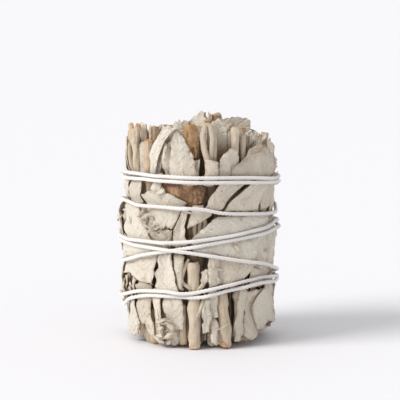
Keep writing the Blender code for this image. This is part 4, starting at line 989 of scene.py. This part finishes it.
class Surface:
    """A material in the making, with its nodes."""

    def __init__(self, name):
        self.material = bpy.data.materials.new(name)
        self.material.use_nodes = True
        self.tree = self.material.node_tree
        self.shader = self.tree.nodes["Principled BSDF"].inputs

    def put(self, socket, value):
        """Sets a socket to a number or a colour, or links it to another node."""
        if isinstance(value, (int, float, tuple)):
            socket.default_value = value
        else:
            self.tree.links.new(value, socket)

    def add(self, kind, sockets, **settings):
        """A new node with these settings and these values in its sockets."""
        node = self.tree.nodes.new(kind)
        for key, value in settings.items():
            setattr(node, key, value)
        for key, value in sockets.items():
            self.put(node.inputs[key], value)
        return node

    def attribute(self, name):
        return self.add("ShaderNodeAttribute", {}, attribute_name=name).outputs

    def where(self):
        """Places on the object, in metres."""
        return self.add("ShaderNodeTexCoord", {}).outputs["Object"]

    def leaf(self):
        """Places on a leaf or round a stem, in millimetres."""
        return self.add("ShaderNodeUVMap", {}, uv_map="leaf").outputs["UV"]

    def across_and_along(self):
        split = self.add("ShaderNodeSeparateXYZ", {0: self.leaf()}).outputs
        return split[0], split[1]

    def tints(self):
        """A leaf's own brightness, warmth, brownness and margin."""
        tint = self.attribute("tint")
        split = self.add("ShaderNodeSeparateColor", {"Color": tint["Color"]}).outputs
        return split[0], split[1], split[2], tint["Alpha"]

    def stretched(self, place, scale, turn=0.0):
        """Places stretched along each axis, and turned."""
        sockets = {"Vector": place, "Scale": scale, "Rotation": (0, 0, turn)}
        return self.add("ShaderNodeMapping", sockets).outputs[0]

    def maths(self, operation, *values):
        return self.add("ShaderNodeMath", dict(enumerate(values)), operation=operation).outputs[0]

    def plus(self, a, b):
        return self.maths("ADD", a, b)

    def minus(self, a, b):
        return self.maths("SUBTRACT", a, b)

    def times(self, a, b):
        return self.maths("MULTIPLY", a, b)

    def mixed(self, share, a, b, blend="MIX"):
        settings = {"data_type": "RGBA", "blend_type": blend, "clamp_factor": True}
        return self.add("ShaderNodeMix", {"Factor": share, 6: a, 7: b}, **settings).outputs[2]

    def over(self, base, mask, share, colour):
        """The base with this share of a colour laid over it where the mask says."""
        return self.mixed(self.times(mask, share), base, colour)

    def noise(self, place, scale, detail, rough=0.5):
        sockets = {"Vector": place, "Scale": scale, "Detail": detail, "Roughness": rough}
        return self.add("ShaderNodeTexNoise", sockets).outputs["Fac"]

    def ramp(self, value, low, high):
        """A value brought from between low and high to between 0 and 1."""
        sockets = {"Value": value, "From Min": low, "From Max": high}
        return self.add("ShaderNodeMapRange", sockets, clamp=True).outputs["Result"]

    def clouds(self, place, scale, detail, rough, low, high):
        """Patches where noise is high."""
        return self.ramp(self.noise(place, scale, detail, rough), low, high)

    def painted_shade_inside(self, base):
        """Painted shade: the colour made browner and darker where it lies deep between the leaves."""
        brown = self.mixed(1.0, base, (0.42, 0.30, 0.20, 1), "MULTIPLY")
        return self.over(base, self.ramp(self.attribute("painted_shade_depth")["Fac"], 0.15, 0.9), 0.85, brown)

    def finish(self, base, height, strength, distance, sockets):
        """The material with its colour, its bumps and the shader's other values in place."""
        bump = self.add("ShaderNodeBump", {"Height": height, "Strength": strength, "Distance": distance})
        values = {"Base Color": base, "Normal": bump.outputs["Normal"], **sockets}
        for name, value in values.items():
            self.put(self.shader[name], value)
        return self.material


def dead_material():
    """A dead brown leaf: dull red-brown with dark veins, tan where it is rubbed."""
    s = Surface("dead_leaf")
    where = s.where()
    cloud = s.noise(where, 330.0, 5.0, 0.65)
    fine = s.noise(where, 1900.0, 3.0, 0.65)
    cracks = s.clouds(s.stretched(s.leaf(), (1.3, 0.35, 1.0), 0.7), 1.4, 4.0, 0.7, 0.52, 0.66)
    # Dull brown in clouds, rubbed paler on the fine grain, then each leaf's own tan and the dark cracks.
    base = s.mixed(s.ramp(cloud, 0.4, 0.66), (0.17, 0.085, 0.045, 1), (0.44, 0.265, 0.145, 1))
    base = s.over(base, s.ramp(fine, 0.45, 0.7), 0.5, (0.56, 0.40, 0.27, 1))
    base = s.over(base, s.tints()[0], 0.5, (0.52, 0.31, 0.135, 1))
    base = s.over(base, cracks, 0.6, (0.13, 0.06, 0.03, 1))
    height = s.minus(s.plus(cloud, s.times(fine, 0.5)), cracks)
    skin = {"Roughness": 0.8, "Specular IOR Level": 0.3}
    return s.finish(s.painted_shade_inside(base), height, 0.7, 0.00025, skin)


def sage_material():
    """Felted grey-green leaf: pale, matte, with veins, a pebbled skin with painted shade in its pits, brown
    margins that are partly painted shade, brown patches, and painted shade deep between the leaves.
    """
    s = Surface("sage_leaf")
    where = s.where()
    tone, warm, brown, margin = s.tints()
    across, along = s.across_and_along()
    far = s.maths("ABSOLUTE", across)
    rib = s.minus(1.0, s.ramp(far, 0.08, 0.38))
    slant = s.minus(s.times(along, 3.6), s.times(far, 3.0))
    wobble = s.times(s.noise(where, 700.0, 2.0), 3.0)
    veins = s.ramp(s.maths("SINE", s.plus(slant, wobble)), 0.55, 1.0)
    pebble = s.add("ShaderNodeTexVoronoi", {"Vector": where, "Scale": 2600.0}, feature="DISTANCE_TO_EDGE")
    pebbles = s.ramp(pebble.outputs["Distance"], 0.0, 0.25)
    cloud = s.noise(where, 260.0, 4.0, 0.6)
    fine = s.noise(where, 2200.0, 3.0, 0.6)
    # The felt: paler and duller leaves, each more or less warm.
    pale = s.mixed(warm, (0.80, 0.755, 0.66, 1), (0.82, 0.735, 0.61, 1))
    dull = s.mixed(warm, (0.58, 0.54, 0.45, 1), (0.61, 0.50, 0.38, 1))
    base = s.mixed(s.ramp(s.plus(tone, s.times(cloud, 0.6)), 0.25, 1.1), dull, pale)
    # Stains, veins, the rib, painted shade in the pits between the pebbles, and dark specks.
    base = s.over(base, s.clouds(where, 420.0, 5.0, 0.7, 0.52, 0.75), 0.3, (0.52, 0.40, 0.28, 1))
    base = s.over(base, veins, 0.16, (0.78, 0.71, 0.60, 1))
    base = s.over(base, rib, 0.35, (0.72, 0.61, 0.48, 1))
    base = s.over(base, s.minus(1.0, pebbles), 0.22, (0.34, 0.27, 0.20, 1))
    base = s.over(base, s.clouds(where, 1500.0, 2.0, 0.6, 0.64, 0.72), 0.55, (0.27, 0.18, 0.11, 1))
    # Rusty patches, more of them on leaves that have turned brown, and brown margins: partly the dry leaf's
    # own brown edge, partly painted shade along it.
    rot = s.ramp(s.plus(s.noise(where, 420.0, 4.0, 0.65), s.times(brown, 0.55)), 0.66, 0.86)
    rust = s.mixed(fine, (0.24, 0.12, 0.05, 1), (0.48, 0.27, 0.13, 1))
    base = s.over(base, rot, 0.8, rust)
    base = s.over(base, s.ramp(brown, 0.3, 0.9), 0.75, rust)
    edge = s.times(s.ramp(margin, 0.4, 1.0), s.ramp(s.noise(where, 900.0, 2.0), 0.35, 0.6))
    base = s.over(base, edge, 0.75, (0.42, 0.27, 0.16, 1))
    # The skin's relief: pebbles, fine grain, veins, soft swells and crumples.
    height = s.times(pebbles, 0.5)
    for part, share in ((fine, 0.7), (veins, 0.8), (cloud, 1.5), (s.noise(where, 900.0, 5.0, 0.7), 1.4)):
        height = s.plus(height, s.times(part, share))
    felt = {"Roughness": 0.88, "Specular IOR Level": 0.25, "Sheen Weight": 0.2, "Sheen Roughness": 0.5}
    return s.finish(s.painted_shade_inside(base), height, 0.7, 0.0002, felt)


def stem_material():
    """Dry stems: pale grey-tan bark with lengthwise wrinkles, and orange-tan wood at the cuts."""
    s = Surface("sage_stem")
    where = s.where()
    tone, _, brown, cut_near = s.tints()
    streak = s.noise(s.stretched(where, (1.0, 1.0, 0.12)), 2600.0, 4.0, 0.6)
    cloud = s.noise(where, 300.0, 3.0, 0.5)
    pale = s.mixed(tone, (0.44, 0.365, 0.275, 1), (0.66, 0.57, 0.44, 1))
    tan = s.mixed(streak, (0.42, 0.24, 0.12, 1), (0.66, 0.43, 0.24, 1))
    base = s.mixed(s.ramp(s.plus(brown, s.times(cloud, 0.3)), 0.2, 0.9), pale, tan)
    base = s.over(base, s.ramp(streak, 0.5, 0.7), 0.5, (0.30, 0.20, 0.13, 1))
    base = s.over(base, s.clouds(where, 520.0, 3.0, 0.6, 0.60, 0.72), 0.5, (0.40, 0.22, 0.12, 1))
    # The bark is stained near a cut, and the cut itself shows pale pith in darker wood.
    across, along = s.across_and_along()
    wood = s.mixed(tone, (0.38, 0.18, 0.07, 1), (0.62, 0.33, 0.14, 1))
    stain = s.plus(cut_near, s.times(s.noise(where, 800.0, 4.0, 0.7), 1.2))
    base = s.over(base, s.ramp(stain, 1.05, 1.55), 0.85, wood)
    pith = s.mixed(s.ramp(across, 0.1, 0.5), (0.66, 0.55, 0.40, 1), wood)
    pith = s.over(pith, s.ramp(streak, 0.4, 0.7), 0.6, (0.22, 0.11, 0.05, 1))
    base = s.painted_shade_inside(s.mixed(s.maths("LESS_THAN", along, -0.5), base, pith))
    bark = {"Roughness": 0.8, "Specular IOR Level": 0.3, "Sheen Weight": 0.15}
    return s.finish(base, streak, 0.6, 0.0002, bark)


def cotton_material():
    """White cotton: matte, soft at grazing light, with fine fibres along each ply."""
    s = Surface("cotton_twine")
    fibre = s.noise(s.stretched(s.leaf(), (3.0, 0.35, 1.0)), 6.0, 4.0, 0.6)
    base = s.mixed(fibre, (0.75, 0.72, 0.69, 1), (0.88, 0.86, 0.83, 1))
    base = s.over(base, s.clouds(s.where(), 240.0, 2.0, 0.5, 0.5, 0.8), 0.25, (0.74, 0.66, 0.56, 1))
    soft = {"Roughness": 0.92, "Specular IOR Level": 0.2, "Sheen Weight": 0.5}
    return s.finish(base, fibre, 0.5, 0.0001, soft)


def plain_material(name, colour, roughness):
    """One even colour."""
    s = Surface(name)
    s.put(s.shader["Base Color"], colour)
    s.put(s.shader["Roughness"], roughness)
    return s.material


class Leaves(NamedTuple):
    """All the leaves of the outside, in the groups that are laid on one after another."""

    deep: list
    strips: list
    broad: list
    crumbs: list


class Outside(NamedTuple):
    """The pieces laid on the outside of the bunch, by sprig, and the sheet that they lie on."""

    sheet: Sheet
    leaves: list
    stems: list
    brown: dict


def strips_round(draw):
    """The narrow folded leaves under the broad ones, more of them at both ends of the bunch."""
    strips = []
    for n in range(STRIPS):
        angle = draw.uniform(-180, 180)
        top, foot = ends_at(angle)
        if n % 3 == 0:
            low, high = draw.uniform(33, 41), top - draw.random() ** 1.5 * 5
        elif n % 3 == 1:
            low, high = foot + draw.random() ** 1.5 * 5, draw.uniform(8, 17)
        else:
            low = draw.uniform(10, 26)
            high = low + draw.uniform(8, 15)
        strips.append(strip(angle, low, high, draw.uniform(1.3, 3.4), draw.uniform(-10, 10), draw))
    return strips


def strips_under(draw):
    """Deeper leaves that show through the gaps between the others."""
    strips = []
    for _ in range(DEEP_STRIPS):
        low = draw.uniform(4, 34)
        high = low + draw.uniform(7, 13)
        angle = draw.uniform(-180, 180)
        strips.append(strip(angle, low, high, draw.uniform(1.6, 3.6), draw.uniform(-12, 12), draw))
    return strips


def crumbs_round(draw):
    """Torn crumbs of leaf all round, and two heaps of them that show at the front left."""
    spots = [(draw.uniform(-180, 180), draw.uniform(2, 44)) for _ in range(36)]
    for _ in range(44):
        along = draw.random()
        angle = -50 + 22 * along + draw.uniform(-2.5, 2.5)
        spots.append((angle, 29.4 - 5.4 * along + draw.uniform(-0.9, 0.9)))
    spots += [(draw.uniform(-36, -22), draw.uniform(1.4, 6.0)) for _ in range(16)]
    crumbs = []
    for angle, height in spots:
        wide, tall = draw.uniform(0.9, 1.9), draw.uniform(0.8, 1.7)
        crumb = strip(angle, height, height + tall, wide, draw.uniform(-8, 8), draw)
        crumbs.append(crumb._replace(sprig=sprig_at(angle)))
    return crumbs


def cover_of(leaves, outlines):
    """How many of these leaves lie over each place."""
    cover = np.zeros((Sheet.turn, Sheet.rows))
    sheet = Sheet(0.0)
    for leaf in leaves:
        under = np.zeros_like(cover)
        under[sheet.cells(outlines[id(leaf)][0])] = 1
        cover += under
    return cover


def lay_outside(start, found, outlines):
    """Lays every outer stalk, strip and leaf, from a given first reach."""
    draw = random.Random(11)
    cover = cover_of(found.broad + found.crumbs, outlines)
    leaves = [Piece() for _ in CELL_STARTS]
    under = Sheet(UNDER_REACH)
    for leaf in found.deep:
        outline = outlines[id(leaf)]
        if under.reach[under.cells(outline[0])].max() < UNDER_LIMIT:
            # Deeper leaves get a lower mean tone: painted shade over each leaf's own random tone.
            lay(under, leaves[home_of(leaf)], draw, outline, tint_of(draw, 0.3), "strip", LIMP)
    sheet = Sheet(np.maximum(start, under.reach))
    stems = [Piece() for _ in CELL_STARTS]
    brown = {name: Piece() for name in BROWN_LEAVES}
    for sprig, points, diameter, wood in STALKS:
        lay_stalk(sheet, stems[sprig], points, diameter, wood, draw)
    keep = sheet.widened(sheet.taken, 2)
    for leaf in found.strips:
        outline = outlines[id(leaf)]
        where = sheet.cells(outline[0])
        limit = STRIP_LIMIT - LAYER_RISE * cover[where].mean()
        if keep[where].mean() > 0.02 or sheet.reach[where].mean() > limit:
            continue
        lay(sheet, leaves[home_of(leaf)], draw, outline, tint_of(draw, 0.42), "strip", SUPPLE)
    names = {id(leaf): name for name, leaf in BROWN_LEAVES.items()}
    for leaf in sorted(found.broad, key=lambda leaf: leaf.layer):
        name = names.get(id(leaf))
        if name:
            lay(sheet, brown[name], draw, outlines[id(leaf)], [BROWN_TONES[name], 0.5, 0.85, 0], "dead")
        else:
            lay(sheet, leaves[leaf.sprig], draw, outlines[id(leaf)], tint_of(draw, 0.62))
    sheet.calm = sheet.reach.copy()
    for leaf in found.crumbs:
        outline = outlines[id(leaf)]
        if sheet.reach[sheet.cells(outline[0])].mean() <= CRUMB_LIMIT:
            lay(sheet, leaves[leaf.sprig], draw, outline, tint_of(draw, 0.55), "crumb", BRITTLE)
    return Outside(sheet, leaves, stems, brown)


def level_outside(draw):
    """The outside, laid again and again from a corrected start until the bunch is level all round."""
    broad = [*BROWN_LEAVES.values(), *FRONT_LEAVES, *back_leaves(random.Random(7))]
    crumbs = crumbs_round(draw)
    strips = strips_round(draw)
    outlines = {id(leaf): fine_outline(leaf, draw, TORN_BROAD) for leaf in broad}
    outlines.update({id(leaf): fine_outline(leaf, draw, TORN_CRUMB) for leaf in crumbs})
    outlines.update({id(leaf): fine_outline(leaf, draw, TORN_STRIP) for leaf in strips})
    deep = strips_under(draw)
    outlines.update({id(leaf): fine_outline(leaf, draw, TORN_STRIP) for leaf in deep})
    found = Leaves(deep, strips, broad, crumbs)
    start = np.full((Sheet.turn, Sheet.rows), FIRST_REACH)
    for _ in range(LEVELLING):
        sheet = lay_outside(start, found, outlines).sheet
        surplus = sheet.reach
        for axis, reach in ((0, 9), (1, 13), (0, 5), (1, 7)):
            surplus = sheet.spread(surplus, axis, reach)
        start = np.clip(start - surplus, *START_RANGE)
    return lay_outside(start, found, outlines)


def inner_stems(draw):
    """The upright stems inside the bunch, whose ends show at the top and the bottom."""
    inner = Piece()
    for x, y, diameter, foot, head, wood in INNER_STEMS:
        share = np.linspace(0, 1, 60)
        sway = [0.12 * wave(draw, 60, 6) for _ in range(2)]
        spread = 1 + 0.03 * share
        path = np.stack([x * spread + sway[0], y * spread + sway[1], foot + (head - foot) * share], -1)
        tint = [draw.uniform(0.3, 0.8), 0.5, wood * 0.4, 1]
        girth = diameter / 2 * (0.95 + 0.06 * wave(draw, 60, 9))
        inner.add_bar(path, girth, STEM_SIDES, tint, [draw.random(), 0.9, 0.9, 0], STEM_ROUGHNESS, draw)
    return inner


def packed_middle():
    """The mass of pressed leaves that fills the bunch behind everything else, coloured dark brown as painted
    shade.
    """
    core = Piece()
    rings = [(12.0, 0.8), (13.5, 1.0), (22.0, 1.0), (30.0, 1.0), (32.0, 0.8)]
    tint = [0.3, 0.5, 0.2, 0]
    core.add_bar([(0, 0, z) for z, _ in rings], [CORE_RADIUS * s for _, s in rings], 40, tint, tint)
    return core


def wound_twine(sheet, draw):
    """The twine in its eight turns, with the knot's two tails."""
    twine = Piece()
    route, radii = twine_line(sheet)
    twisted(twine, at(route[:, 0], route[:, 1], radii), draw)
    for tail in tail_paths(sheet, max(radii[0], radii[-1])):
        twisted(twine, tail, draw)
    return twine


def dress():
    """All the fine pieces, in place of the plain solids."""
    for obj in bpy.context.selected_objects:
        obj.select_set(False)
    draw = random.Random(7)
    sheet, leaves, stems, brown = level_outside(draw)
    inner_blades(leaves, draw, 30.0, True)
    inner_blades(leaves, draw, 14.0, False)
    inner = inner_stems(draw)
    sage = sage_material()
    bark = stem_material()
    for k, (piece, stalks) in enumerate(zip(leaves, stems)):
        node = f"outer_sprig_{k + 1:02d}"
        add_piece(f"sprig_{k + 1:02d}_leaves", piece, sage, [node], sheet=sheet)
        if stalks.points:
            add_piece(f"sprig_{k + 1:02d}_stalks", stalks, bark, [], sheet=sheet)
    insides = ["bare_stem"] + [f"inner_sprig_{n:02d}" for n in range(1, 6)]
    add_piece("inner_stems", inner, bark, insides, sheet=sheet)
    # The packed middle's dark brown is painted shade inside the bunch.
    add_piece("packed_middle", packed_middle(), plain_material("packed_leaf_painted_shade", (0.16, 0.12, 0.08, 1), 0.9), [])
    dead = dead_material()
    for name, piece in brown.items():
        add_piece(name + "_fine", piece, dead, [name], sheet)
    add_piece("twine_fine", wound_twine(sheet, draw), cotton_material(), ["twine"])


def light_and_camera():
    """A white floor and sky, a soft sun from the left front, and the photograph's camera."""
    scene = bpy.context.scene
    bpy.ops.mesh.primitive_plane_add(size=14, location=(0, 3.0, 0))
    floor = bpy.context.object
    floor.name = "floor"
    floor.data.materials.append(plain_material("floor", FLOOR_WHITE, 0.7))
    world = bpy.data.worlds.new("studio")
    world.use_nodes = True
    sky = world.node_tree.nodes["Background"].inputs
    sky["Color"].default_value = SKY_WHITE
    sky["Strength"].default_value = SKY_STRENGTH
    scene.world = world
    key = bpy.data.lights.new("key", "SUN")
    key.energy = SUN_STRENGTH
    key.angle = SUN_WIDTH
    key.color = SUN_WHITE
    lamp = bpy.data.objects.new("key", key)
    lamp.rotation_euler = SUN_AIM.to_track_quat("-Z", "Y").to_euler()
    scene.collection.objects.link(lamp)
    camera = bpy.data.cameras.new("camera")
    camera.lens = 182
    camera.sensor_width = 36
    camera.clip_start = 0.01
    camera.shift_x = -0.00375
    camera.shift_y = 0.0645
    eye = bpy.data.objects.new("camera", camera)
    behind, above = CAMERA_DISTANCE * math.cos(CAMERA_LIFT), CAMERA_DISTANCE * math.sin(CAMERA_LIFT)
    eye.location = Vector((0, -behind, CAMERA_AIM_HEIGHT + above))
    aim = Vector((0, 0, CAMERA_AIM_HEIGHT)) - eye.location
    eye.rotation_euler = aim.to_track_quat("-Z", "Y").to_euler()
    scene.collection.objects.link(eye)
    scene.camera = eye
    scene.view_settings.view_transform = "Standard"


dress()
light_and_camera()
